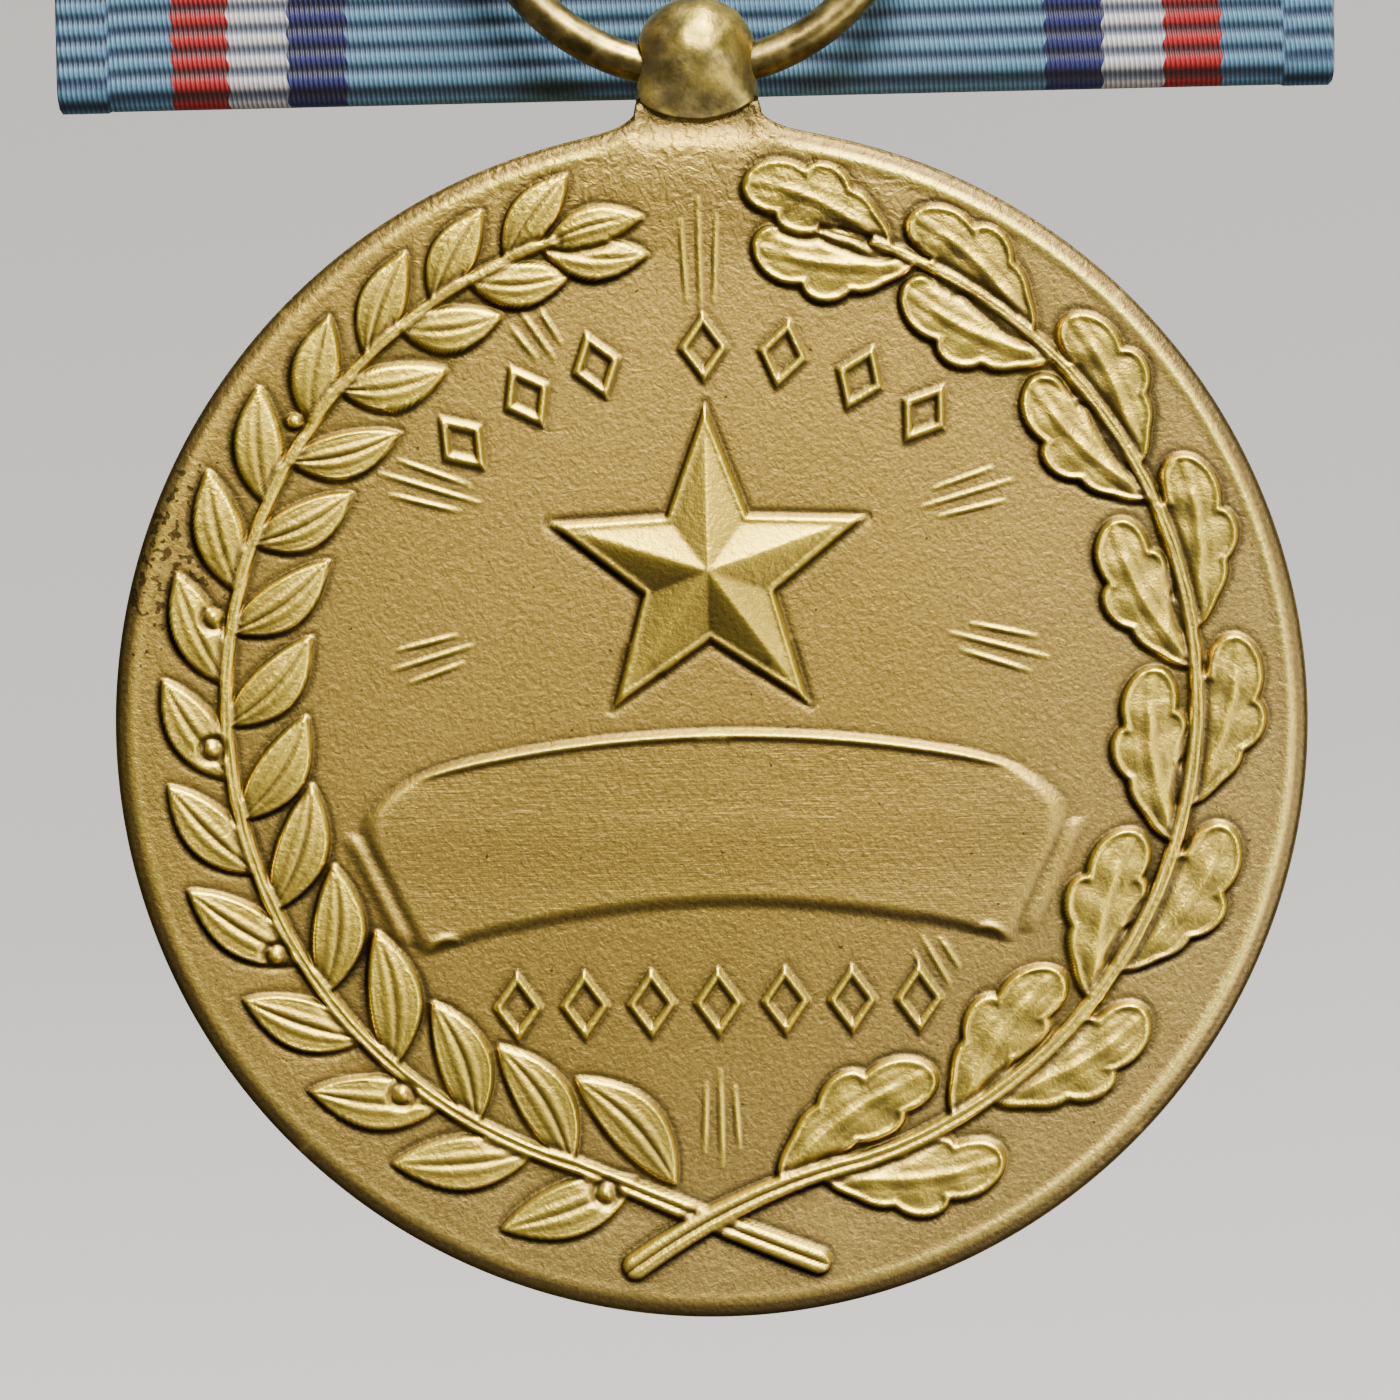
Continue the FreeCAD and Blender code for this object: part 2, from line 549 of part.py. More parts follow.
def catch_sleeve():
    """The safety sleeve that turns on the catch's tube to close its mouth, with a thumb lever."""
    x0, x1 = CATCH_X - 0.15, CATCH_X + 1.2
    tube = rod(SLEEVE_OUT_R, V(x0, 0, 0), X_AXIS, x1 - x0)
    lever = box((x0 + 0.1, x1 - 0.1), (-LEVER_T / 2, LEVER_T / 2), (-LEVER_REACH, -SLEEVE_IN_R - 0.05))
    ends = [e for e in lever.Edges if abs(e.tangentAt(e.FirstParameter).y) > 0.9 and e.CenterOfMass.z < -2]
    lever = lever.makeFillet(0.4, ends)
    hollow = rod(SLEEVE_IN_R, V(x0 - 1, 0, 0), X_AXIS, x1 - x0 + 2)
    return tube.fuse(lever).cut(hollow).cut(mouth(x0 - 1, x1 + 1)).removeSplitter()


NODES = {
    "medallion": medallion,
    "suspension_lug": suspension_lug,
    "lug_solder": lug_solder,
    "suspension_ring": suspension_ring,
    "ribbon_loop": ribbon_loop,
    "loop_tab": loop_tab,
    "loop_stitches": loop_stitches,
    "ribbon_drape": ribbon_drape,
    "ribbon_head": ribbon_head,
    "back_plate": back_plate,
    "core_bar": core_bar,
    "hinge_bracket": hinge_bracket,
    "hinge_rivet": hinge_rivet,
    "brooch_pin": brooch_pin,
    "catch_post": catch_post,
    "catch_sleeve": catch_sleeve,
}

os.makedirs("parts", exist_ok=True)
for name, make in NODES.items():
    shape = make()
    shape.exportStep(f"parts/{name}.step")
    solids = shape.Solids
    print(name, len(solids), "solid(s)", round(sum(s.Volume for s in solids), 3), "mm3", shape.isValid())
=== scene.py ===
import json
import math

import bpy
import numpy as np
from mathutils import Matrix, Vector, noise as mathutils_noise

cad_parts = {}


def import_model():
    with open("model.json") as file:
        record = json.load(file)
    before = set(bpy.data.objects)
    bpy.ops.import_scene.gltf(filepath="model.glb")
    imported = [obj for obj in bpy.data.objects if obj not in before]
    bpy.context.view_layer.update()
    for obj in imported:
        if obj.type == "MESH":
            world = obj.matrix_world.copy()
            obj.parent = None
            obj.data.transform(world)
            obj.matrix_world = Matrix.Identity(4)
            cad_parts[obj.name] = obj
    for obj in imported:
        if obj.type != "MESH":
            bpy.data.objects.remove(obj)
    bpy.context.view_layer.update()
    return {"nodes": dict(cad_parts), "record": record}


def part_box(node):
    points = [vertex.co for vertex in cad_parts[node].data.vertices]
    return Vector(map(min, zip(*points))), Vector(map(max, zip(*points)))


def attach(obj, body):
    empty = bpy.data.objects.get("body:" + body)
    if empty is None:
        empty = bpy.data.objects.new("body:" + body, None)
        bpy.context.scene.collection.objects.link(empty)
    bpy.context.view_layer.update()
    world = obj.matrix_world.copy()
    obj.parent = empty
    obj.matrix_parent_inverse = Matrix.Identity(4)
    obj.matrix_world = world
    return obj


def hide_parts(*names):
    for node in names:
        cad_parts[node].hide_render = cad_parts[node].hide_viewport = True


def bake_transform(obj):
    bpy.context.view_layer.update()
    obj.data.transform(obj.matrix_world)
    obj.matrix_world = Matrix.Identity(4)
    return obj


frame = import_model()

MM = 0.001
CREASE = math.radians(50)       # edges that turn by more than this are not smoothed over

# -------------------- places, read from the frame, in millimetres


def box_mm(node):
    low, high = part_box(node)
    return np.array(low) / MM, np.array(high) / MM


medal_low, medal_high = box_mm("medallion")
MEDAL_R = (medal_high[0] - medal_low[0]) / 2
MEDAL_Z = medal_low[2] + MEDAL_R
NECK_TOP = medal_high[2] - MEDAL_Z
ring_low, ring_high = box_mm("suspension_ring")
WIRE_R = (ring_high[1] - ring_low[1]) / 2
RING_R = (ring_high[0] - ring_low[0]) / 2 - WIRE_R
RING_Z = (ring_high[2] + ring_low[2]) / 2
lug_low, lug_high = box_mm("suspension_lug")
LUG_R = (lug_high[0] - lug_low[0]) / 2
head_high = box_mm("ribbon_head")[1]
drape_low, drape_high = box_mm("ribbon_drape")
RIBBON_W = drape_high[0] - drape_low[0]
RIBBON_Y = (drape_low[1] + drape_high[1]) / 2
tab_low, tab_high = box_mm("loop_tab")

# -------------------- camera and lights

VIEW_MM = 37.57                 # what the frame spans at the medallion's face
VIEW_DISTANCE = 120.0
AIM = (-0.3, 0.56)              # from the medallion's centre
ROLL = 1.35                     # degrees; the hanging medal's top leans to the left
SENSOR = 36.0


def aim(obj, at, target, roll=0.0):
    obj.location = [c * MM for c in at]
    direction = Vector(target) - Vector(at)
    turn = direction.to_track_quat("-Z", "Y").to_euler()
    turn.rotate_axis("Z", math.radians(roll))
    obj.rotation_euler = turn


def camera():
    data = bpy.data.cameras.new("camera")
    data.sensor_width = SENSOR
    data.lens = SENSOR * VIEW_DISTANCE / VIEW_MM
    data.clip_start = 0.005
    obj = bpy.data.objects.new("camera", data)
    bpy.context.scene.collection.objects.link(obj)
    x, z = AIM[0], MEDAL_Z + AIM[1]
    aim(obj, (x, -VIEW_DISTANCE, z), (x, 0, z), -ROLL)
    bpy.context.scene.camera = obj


def softbox(name, at, size, power, color):
    """A rectangular light that faces the medallion's centre."""
    data = bpy.data.lights.new(name, "AREA")
    data.shape, data.size, data.size_y = "RECTANGLE", size[0] * MM, size[1] * MM
    data.energy, data.color = power, color
    obj = bpy.data.objects.new(name, data)
    bpy.context.scene.collection.objects.link(obj)
    aim(obj, at, (0, 0, MEDAL_Z))
    obj.visible_camera = False


def world(strength, color):
    w = bpy.data.worlds.new("studio")
    w.use_nodes = True
    background = w.node_tree.nodes["Background"]
    background.inputs["Color"].default_value = (*color, 1)
    background.inputs["Strength"].default_value = strength
    bpy.context.scene.world = w


camera()
world(0.14, (1.0, 0.99, 0.97))
softbox("key", (140, -290, 570), (240, 240), 9.0, (1.0, 0.97, 0.92))
softbox("face", (80, -550, 370), (240, 220), 7.6, (1.0, 0.98, 0.94))
softbox("fill", (420, -430, -170), (240, 240), 1.5, (1.0, 0.97, 0.95))
softbox("obverse_key", (-140, 410, 570), (240, 240), 9.0, (1.0, 0.97, 0.92))
softbox("obverse_face", (-80, 570, 370), (240, 220), 7.6, (1.0, 0.98, 0.94))

# -------------------- materials


def node(tree, kind, inputs=None, **settings):
    """A shader node with its settings, and its inputs as numbers or as other nodes' outputs."""
    made = tree.nodes.new(kind)
    for key, value in settings.items():
        setattr(made, key, value)
    for key, value in (inputs or {}).items():
        if isinstance(value, bpy.types.NodeSocket):
            tree.links.new(value, made.inputs[key])
        else:
            made.inputs[key].default_value = value
    return made


def material(name):
    made = bpy.data.materials.new(name)
    made.use_nodes = True
    made.node_tree.nodes.clear()
    return made, made.node_tree


def surface(tree, inputs):
    """Ends a material with one shader."""
    shader = node(tree, "ShaderNodeBsdfPrincipled", inputs).outputs["BSDF"]
    node(tree, "ShaderNodeOutputMaterial", {"Surface": shader})


def place(tree):
    return node(tree, "ShaderNodeTexCoord").outputs["Object"]


def noise(tree, at, per_mm, detail=3.0, rough=0.55):
    inputs = {"Vector": at, "Scale": per_mm / MM, "Detail": detail, "Roughness": rough}
    return node(tree, "ShaderNodeTexNoise", inputs).outputs["Fac"]


def ramp(tree, value, stops):
    """A colour ramp from (position, colour) stops; a number stands for a grey."""
    made = node(tree, "ShaderNodeValToRGB", {"Fac": value})
    elements = made.color_ramp.elements
    while len(elements) < len(stops):
        elements.new(1.0)
    for element, (position, color) in zip(elements, stops):
        element.position = position
        element.color = (*color, 1) if hasattr(color, "__len__") else (color, color, color, 1)
    return made.outputs["Color"]


def mix(tree, fac, a, b, blend="MIX"):
    """A mix of two colours, each an output or three numbers."""
    a, b = (c if isinstance(c, bpy.types.NodeSocket) else (*c, 1) for c in (a, b))
    return node(tree, "ShaderNodeMix", {0: fac, 6: a, 7: b}, data_type="RGBA", blend_type=blend).outputs[2]


def math_node(tree, operation, a, b=0.0, clamp=False):
    return node(tree, "ShaderNodeMath", {0: a, 1: b}, operation=operation, use_clamp=clamp).outputs[0]


def attribute(tree, name):
    return node(tree, "ShaderNodeAttribute", attribute_name=name).outputs["Fac"]


def distance(tree, at, middle, reach):
    """How far each point is from a middle, as a share of a reach; both are in millimetres."""
    ends = {0: at, 1: [c * MM for c in middle]}
    away = node(tree, "ShaderNodeVectorMath", ends, operation="DISTANCE").outputs["Value"]
    return math_node(tree, "DIVIDE", away, reach * MM)


def bump(tree, *heights):
    """The shader's normal input, from (height, depth in millimetres, strength) triples."""
    normal = {}
    for height, depth, strength in heights:
        inputs = {"Height": height, "Distance": depth * MM, "Strength": strength, **normal}
        normal = {"Normal": node(tree, "ShaderNodeBump", inputs).outputs["Normal"]}
    return normal


BRONZE_TONES = (                # from the deepest hollow, past the bare field at 0.5, to the sharpest edge, with painted shade and highlights on the slopes
    (0.0, (0.012, 0.008, 0.003)), (0.36, (0.14, 0.095, 0.028)), (0.5, (0.385, 0.256, 0.056)),
    (0.64, (0.64, 0.455, 0.082)), (1.0, (1.0, 0.83, 0.14)))
STAINED, PALE_GREY = (0.29, 0.2, 0.042), (0.62, 0.47, 0.235)
# the rubbed tone also serves as the painted highlight on the relief
CORRODED, RUBBED_AND_HIGHLIT = (0.05, 0.032, 0.012), (1.0, 0.75, 0.07)
FACE_Y = -1.1                               # about where the reverse's field lies
PALER_AWAY_FROM = (-6, FACE_Y, MEDAL_Z + 3)        # the tone turns paler and greyer well away from here
PITTED_AT = (-15.0, FACE_Y, MEDAL_Z + 4.6)  # the middle of the corroded stretch of the rim


def struck_bronze():
    """Dull golden bronze: dark in the hollows, bright where the relief has been rubbed, and painted with
    light and shade on its slopes.
    """
    made, tree = material("struck_bronze")
    at = place(tree)
    patina_and_painted_light, relief, brushed = (attribute(tree, name) for name in ("patina_and_painted_light", "worn", "brushed"))
    color = ramp(tree, patina_and_painted_light, BRONZE_TONES)
    patches = ramp(tree, noise(tree, at, 0.16, 4.0), ((0.36, 0.0), (0.68, 1.0)))
    color = mix(tree, math_node(tree, "MULTIPLY", patches, 0.35), color, STAINED)
    paler_away = ramp(tree, distance(tree, at, PALER_AWAY_FROM, 22), ((0.5, 0.0), (1.0, 0.36)))
    color = mix(tree, math_node(tree, "MULTIPLY", paler_away, patina_and_painted_light), color, PALE_GREY)
    speckle = ramp(tree, noise(tree, at, 9.0, 2.0), ((0.28, 0.76), (0.72, 1.2)))
    color = mix(tree, 1.0, color, speckle, "MULTIPLY")
    pitted = ramp(tree, distance(tree, at, PITTED_AT, 4.2), ((0.3, 0.2), (1.0, 0.0)))
    spots = math_node(tree, "ADD", noise(tree, at, 4.2, 1.5, 0.6), pitted)
    spots = ramp(tree, spots, ((0.75, 0.0), (0.78, 0.85)))
    color = mix(tree, spots, color, CORRODED)
    # the relief's rubbed wear, which follows the painted light and so is partly a painted highlight
    color = mix(tree, math_node(tree, "MULTIPLY", relief, 0.55), color, RUBBED_AND_HIGHLIT)
    rough = math_node(tree, "ADD", math_node(tree, "MULTIPLY", relief, -0.07), 0.46)
    stretched = node(tree, "ShaderNodeMapping", {"Vector": at, "Scale": (0.12, 1.0, 2.4)}).outputs["Vector"]
    hairlines = math_node(tree, "MULTIPLY", noise(tree, stretched, 6.0, 3.0, 0.7), brushed)
    wrinkles = {"Vector": at, "Scale": 2.6 / MM, "Detail": 3.0, "Distortion": 1.5}
    peel = node(tree, "ShaderNodeTexNoise", wrinkles).outputs["Fac"]
    grain = noise(tree, at, 7.0, 3.0, 0.7)
    up = node(tree, "ShaderNodeSeparateXYZ", {"Vector": at}).outputs["Z"]
    above = math_node(tree, "SUBTRACT", up, (MEDAL_Z + 11.5) * MM)
    near_neck = math_node(tree, "DIVIDE", above, 4 * MM, True)
    crackle = math_node(tree, "MULTIPLY", peel, near_neck)
    heights = (peel, 0.03, 0.5), (crackle, 0.055, 0.7), (grain, 0.03, 0.6), (hairlines, 0.015, 0.6)
    surface(tree, {"Base Color": color, "Metallic": 1.0, "Roughness": rough, **bump(tree, *heights)})
    return made


def worn_metal(name, dull, bright, rough, worn, dent_mm, mottling, spot=None):
    """Metal with a dull skin that is rubbed bright in patches, and brighter still about a spot, a painted
    highlight.

    Dull turns bright over the range worn of a noise, mottling is the range of both tones' shading, and a spot
    is a middle and a reach."""
    made, tree = material(name)
    at = place(tree)
    level = noise(tree, at, 1.3, 5.0, 0.62)
    if spot:
        # brighter about the spot: a painted highlight
        rubbed = ramp(tree, distance(tree, at, *spot), ((0.0, 0.2), (1.0, -0.1)))
        level = math_node(tree, "ADD", level, rubbed)
    skin = ramp(tree, level, ((worn[0], 0.0), (worn[1], 1.0)))
    color = mix(tree, skin, dull, bright)
    mottle = ramp(tree, noise(tree, at, 3.2, 4.0, 0.6), ((0.3, mottling[0]), (0.7, mottling[1])))
    color = mix(tree, 1.0, color, mottle, "MULTIPLY")
    low, high = (rough * (shade + 0.1) for shade in mottling)
    scuffs = ramp(tree, noise(tree, at, 1.7, 4.0), ((0.3, low), (0.7, high)))
    bumps = bump(tree, (noise(tree, at, 1.1, 3.0), dent_mm * 2, 0.6), (noise(tree, at, 5.0), dent_mm, 0.5))
    surface(tree, {"Base Color": color, "Metallic": 1.0, "Roughness": scuffs, **bumps})
    return made


STRIPES_MM = ((0.0, "light"), (9.525, "ultra"), (11.11, "white"), (12.7, "red"), (14.29, "light"))
STRIPE_COLORS = {
    "light": (0.074, 0.187, 0.29), "ultra": (0.006, 0.009, 0.085), "white": (0.47, 0.46, 0.47),
    "red": (0.31, 0.001, 0.003)}
WARP_PITCH, RIB_PITCH = 0.135, 0.585
STRIPE_WANDER = 0.045           # how far a stripe's edge steps aside from one rib to the next


def grosgrain():
    """Ribbed silk in stripes, with fine warp threads over the ribs and painted shade in the grooves between
    them.
    """
    made, tree = material("ribbon")
    across, along, rib = (attribute(tree, name) for name in ("across", "along", "rib"))
    zigzag = math_node(tree, "SINE", math_node(tree, "MULTIPLY", along, 2 * math.pi / RIB_PITCH))
    zigzag = math_node(tree, "MULTIPLY", zigzag, STRIPE_WANDER)
    from_middle = math_node(tree, "ADD", zigzag, math_node(tree, "ABSOLUTE", across))
    share = math_node(tree, "DIVIDE", from_middle, RIBBON_W / 2)
    stops = [(mm / (RIBBON_W / 2), STRIPE_COLORS[key]) for mm, key in STRIPES_MM]
    color = ramp(tree, share, stops)
    color.node.color_ramp.interpolation = "CONSTANT"
    phase = math_node(tree, "MULTIPLY", across, 2 * math.pi / WARP_PITCH)
    phase = math_node(tree, "ADD", phase, math_node(tree, "MULTIPLY", along, math.pi / RIB_PITCH))
    ticks = math_node(tree, "SINE", phase)
    shade = ramp(tree, ticks, ((0.0, 0.62), (1.0, 1.15)))
    color = mix(tree, 1.0, color, shade, "MULTIPLY")
    # painted shade in the grooves between the ribs
    groove_shade_tones = ((0.0, (0.14, 0.17, 0.24)), (0.3, (0.32, 0.36, 0.42)), (0.55, 0.74), (0.85, 1.12))
    groove = ramp(tree, rib, groove_shade_tones)
    color = mix(tree, 1.0, color, groove, "MULTIPLY")
    tone = ramp(tree, noise(tree, place(tree), 0.25, 3.0), ((0.3, 0.9), (0.7, 1.1)))
    color = mix(tree, 1.0, color, tone, "MULTIPLY")
    bumps = bump(tree, (ticks, 0.02, 0.7), (noise(tree, place(tree), 9.0), 0.02, 0.4))
    surface(tree, {"Base Color": color, "Roughness": 0.5, "Sheen Weight": 0.12, **bumps})
    return made


def thread_material():
    made, tree = material("thread")
    inputs = {"Vector": place(tree), "Scale": 0.9 / MM, "Distortion": 0.6}
    twist = node(tree, "ShaderNodeTexWave", inputs, bands_direction="DIAGONAL").outputs["Fac"]
    color = ramp(tree, twist, ((0.1, (0.22, 0.36, 0.44)), (0.8, (0.42, 0.58, 0.66))))
    surface(tree, {"Base Color": color, "Roughness": 0.6, **bump(tree, (twist, 0.03, 0.8))})
    return made


def stage_material():
    made, tree = material("stage")
    surface(tree, {"Base Color": (0.78, 0.77, 0.75, 1), "Roughness": 0.9})
    return made


# -------------------- the struck faces, as fields of height


def smooth(t):
    t = np.clip(t, 0, 1)
    return t * t * (3 - 2 * t)


def bell(t, width):
    return np.exp(-((t / width) ** 2))


def polar(r, degrees, centre=(0, 0)):
    a = math.radians(degrees)
    return centre[0] + r * math.cos(a), centre[1] + r * math.sin(a)


def bend(centre, r, start, end, count=33):
    """Points of an arc about a centre, from one angle in degrees to another."""
    return [polar(r, a, centre) for a in np.linspace(start, end, count)]


def soft_max(a, b, k):
    """The larger of two distances, with a corner of radius k."""
    return np.maximum(a, b) + np.maximum(k - np.abs(a - b), 0) ** 2 / (4 * k)


def soft_min(a, b, k):
    return -soft_max(-a, -b, k)


def ellipse(s, t, at, size, turn=0.0):
    """About how far each point is from an ellipse, negative inside."""
    cos, sin = polar(1, turn)
    x, y = s - at[0], t - at[1]
    x, y = x * cos + y * sin, y * cos - x * sin
    near = np.hypot(x / size[0], y / size[1])
    slope = np.hypot(x / size[0] ** 2, y / size[1] ** 2) + 1e-9
    return near * (near - 1) / slope


def along(path, x, y):
    """Each point's distance from a path of points, its side, and how far along it lies, 0 to 1."""
    best = np.full(x.shape, 1e9)
    side, reach = np.zeros(x.shape), np.zeros(x.shape)
    count = len(path) - 1
    for k, (a, b) in enumerate(zip(path, path[1:])):
        dx, dy = b[0] - a[0], b[1] - a[1]
        length = math.hypot(dx, dy)
        u = ((x - a[0]) * dx + (y - a[1]) * dy) / length**2
        t = np.clip(u, 0, 1)
        d = np.hypot(x - a[0] - t * dx, y - a[1] - t * dy)
        nearer = d < best
        best = np.where(nearer, d, best)
        side = np.where(nearer, ((y - a[1]) * dx - (x - a[0]) * dy) / length, side)
        reach = np.where(nearer, (k + t) / count, reach)
    return best, side, reach


class Relief:
    """Heights above the field, in millimetres, at the points of a disc, painted one element over another."""

    def __init__(self, x, y):
        self.x, self.y = x, y
        self.height = np.zeros_like(x)
        self.raised = np.zeros_like(x)
        self.brushed = np.zeros_like(x)

    def paint(self, shape, sizes, at=(0, 0), turn=0.0, reach=99.0, wall=0.14, moat=0.45, side=1, shine=1.0):
        """shape(s, t, *sizes) gives the distance to an outline, negative inside, and the height there.

        The wall is how wide the outline's slope is, the moat how deep the trench round it, and the shine how
        much it is rubbed bright, partly as a painted highlight. A side of -1 paints the mirror image."""
        dx, dy = side * self.x - at[0], self.y - at[1]
        near = np.hypot(dx, dy) < reach
        cos, sin = polar(1, turn)
        d, top = shape(dx[near] * cos + dy[near] * sin, dy[near] * cos - dx[near] * sin, *sizes)
        solid = smooth(0.5 - d / wall)
        groove = bell(d - 0.1, 0.1) * (d > -wall)
        below = self.height[near] * (1 - moat * groove) - 0.035 * moat * groove
        self.height[near] = below * (1 - solid) + solid * top
        self.raised[near] = np.maximum(self.raised[near] * (1 - groove), solid * shine)


def star_shape(s, t, r, inner, apex, wall):
    """A five-pointed star of ten flat facets that rise to its middle."""
    turn = np.degrees(np.arctan2(s, t)) % 72
    turn = np.where(turn > 36, 72 - turn, turn)
    reach = np.hypot(s, t)
    x, y = reach * np.sin(np.radians(turn)), reach * np.cos(np.radians(turn))
    notch_y, notch_x = polar(inner, 36)
    notch = x / notch_x
    tip = (y - notch * notch_y) / r
    outside = tip + notch - 1
    d = outside * r * notch_x / math.hypot(notch_x, r - notch_y)
    edge = 0.05 * bell(d + 0.1, 0.07)
    return d, wall + apex * np.clip(-outside, 0, 1) + edge


def laurel_shape(s, t, length, width, height, bow=0.05, hand=1):
    """A pointed leaf from its base along s, with a vein between two swellings and a thin lip."""
    u = np.clip(s / length, 0, 1)
    t = hand * t + bow * length * np.sin(math.pi * u)
    half = width / 2 * np.sin(math.pi * u**0.95) ** 0.8
    past = np.maximum(np.maximum(-s, s - length), 0)
    d = np.where(past > 0, np.hypot(past, t), 0.88 * (np.abs(t) - half))
    q = np.clip(t / np.maximum(half, 0.05), -1, 1)
    dome = 0.44 + 0.46 * np.sqrt(np.clip(1 - 0.92 * q**2, 0, 1))
    vein = 0.2 * bell(np.abs(q) - 0.94, 0.1) - 0.2 * bell(q, 0.13) - 0.07 * bell(np.abs(q) - 0.5, 0.12)
    return d, height * (dome + vein) * (0.72 + 0.28 * smooth(u * 2.5)) * (1.05 - 0.3 * smooth(u * 2 - 1))


def oak_shape(s, t, length, width, height, lean=1):
    """A lobed leaf: a round end lobe, two pairs of side lobes, a lip all round and a bent midrib."""
    t = t + lean * 0.07 * length * np.sin(math.pi * np.clip(s / length, 0, 1))
    body = ellipse(s, t, (0.79 * length, 0), (0.21 * length, 0.37 * width))
    body = soft_min(body, ellipse(s, t, (0.45 * length, 0), (0.45 * length, 0.34 * width)), 0.22)
    d = body
    for hand in (-1, 1):
        slip = 0.03 * length * hand * lean
        for along_leaf, out, long, wide in ((0.55, 0.24, 0.17, 0.26), (0.32, 0.14, 0.15, 0.22)):
            lobe_at = (along_leaf * length + slip, hand * out * width)
            d = soft_min(d, ellipse(s, t, lobe_at, (long * length, wide * width), 14 * hand), 0.09)
    stalk = np.abs(t) - 0.1 + np.maximum(s - 0.3 * length, 0) + np.maximum(-s, 0)
    d = np.minimum(d, stalk)
    lip = 0.26 * bell(d + 0.1, 0.065)
    rib = 0.13 * bell(t, 0.07) * smooth((0.84 * length - s) / 0.5)
    streaks = -0.07 * bell(np.abs(t) - 0.14 * width * (1 - 0.4 * s / length), 0.09)
    puff = 0.24 * smooth((0.1 - body) / 0.75)
    fold = 0.05 * np.cos(2 * math.pi * (s - 0.5 * np.abs(t)) / (0.24 * length)) * smooth(-d / 0.3)
    return d, height * (0.6 + lip + rib + streaks + puff + fold)


def stem_shape(s, t, path, half, height):
    """A stem along a path, thinner towards its end, with a groove down its middle."""
    d, side, reach = along(path, s, t)
    wide = half * (0.95 - 0.45 * reach + 0.6 * bell(reach, 0.13))
    round_top = np.sqrt(np.clip(1 - (d / wide) ** 2, 0, 1))
    return d - wide, height * (0.72 + 0.28 * round_top - 0.34 * bell(side, 0.055))


def line_shape(s, t, length, half, height):
    """A fine raised line that fades at its ends."""
    d = np.hypot(t, np.maximum(np.abs(s) - length / 2, 0))
    fade = 1 - smooth(np.abs(s) / (length / 2)) ** 2
    return d - half, height * (0.35 + 0.65 * fade) * np.clip(1 - (d / half) ** 2, 0, 1)


def lozenge_shape(s, t, size, stroke, height):
    """An open lozenge with a round-topped outline."""
    a, b = size
    d = (np.abs(s) / a + np.abs(t) / b - 1) * a * b / math.hypot(a, b)
    band = np.abs(d + stroke / 2) - stroke / 2
    return band, height * (0.6 + 0.4 * np.clip(1 - (band / stroke + 0.5) * 2, 0, 1))


def dot_shape(s, t, r, height):
    """A round bead."""
    d = np.hypot(s, t)
    return d - r, height * (0.4 + 0.6 * np.sqrt(np.clip(1 - (d / r) ** 2, 0, 1)))


def tablet_side(s, t):
    """How far each point is outside the tablet's slanting sides."""
    return np.abs(s) - 9.5 - 0.48 * np.minimum(t + 2.35, 0)


def tablet_shape(s, t, height):
    """The blank scroll: bowed above and below, round shoulders, and soft at the sides and below."""
    top = t + 0.28 + 0.015 * s**2
    bottom = -4.8 - 0.0185 * s**2 - t
    sides = tablet_side(s, t)
    d = soft_max(soft_max(top, 0.6 * sides, 1.9), 0.75 * bottom, 0.12)
    d = d * (1 - 0.3 * smooth((-1.6 - t) / 1.2))
    roll = 0.7 * bell(top + 0.12, 0.085) * smooth((9.3 - np.abs(s)) / 1.5)
    scroll = 0.5 * bell(np.hypot(np.abs(s) - 7.2, t + 6.1) - 0.45, 0.12) * (bottom < 0.35)
    dish = -0.2 * smooth(-d / 3.0)
    sink = -0.3 * smooth((-2.4 - t) / 2.0)
    return d, height * (1 + roll + scroll + dish + sink)


def curl_shape(s, t, height):
    """The scroll's ends, rolled over as soft bands outside the tablet's sides."""
    outside = tablet_side(s, t) - 0.35
    d = soft_max(np.abs(outside) - 0.42, np.abs(t + 4.3) - 1.6, 0.3)
    return d, height * bell(outside, 0.4) * smooth(-d / 0.4)


# both branches are laid out as the right-hand one, and the laurel is painted on the other side
STEM_R, STEM_OFFSET = 12.9, 0.55
STEM_TOP = 160                  # the end of a branch, in degrees from straight down
BERRY_ANGLES = (14, 41, 63, 88, 103, 127)
STAR_R, STAR_AT = 4.36, (0.0, 3.97)
LEAF_H = 0.26


def stem_point(degrees):
    """A point of the right-hand stem, by its angle from straight down."""
    return polar(STEM_R - STEM_OFFSET * math.cos(math.radians(degrees)), degrees - 90)


def stem_path(top, butt, middle):
    """From the cut butt, through the crossing at the bottom, and up the arc."""
    joins = stem_point(18)
    t = np.arange(9)[:, None] / 9
    curve = (1 - t) ** 2 * np.array(butt) + 2 * t * (1 - t) * np.array(middle) + t**2 * np.array(joins)
    return [*curve, *(stem_point(a) for a in np.linspace(18, top, 44))]


def spaced(first, step, tighten, count):
    """Angles whose steps shrink evenly."""
    return [first + step * k - tighten * k * (k - 1) for k in range(count)]


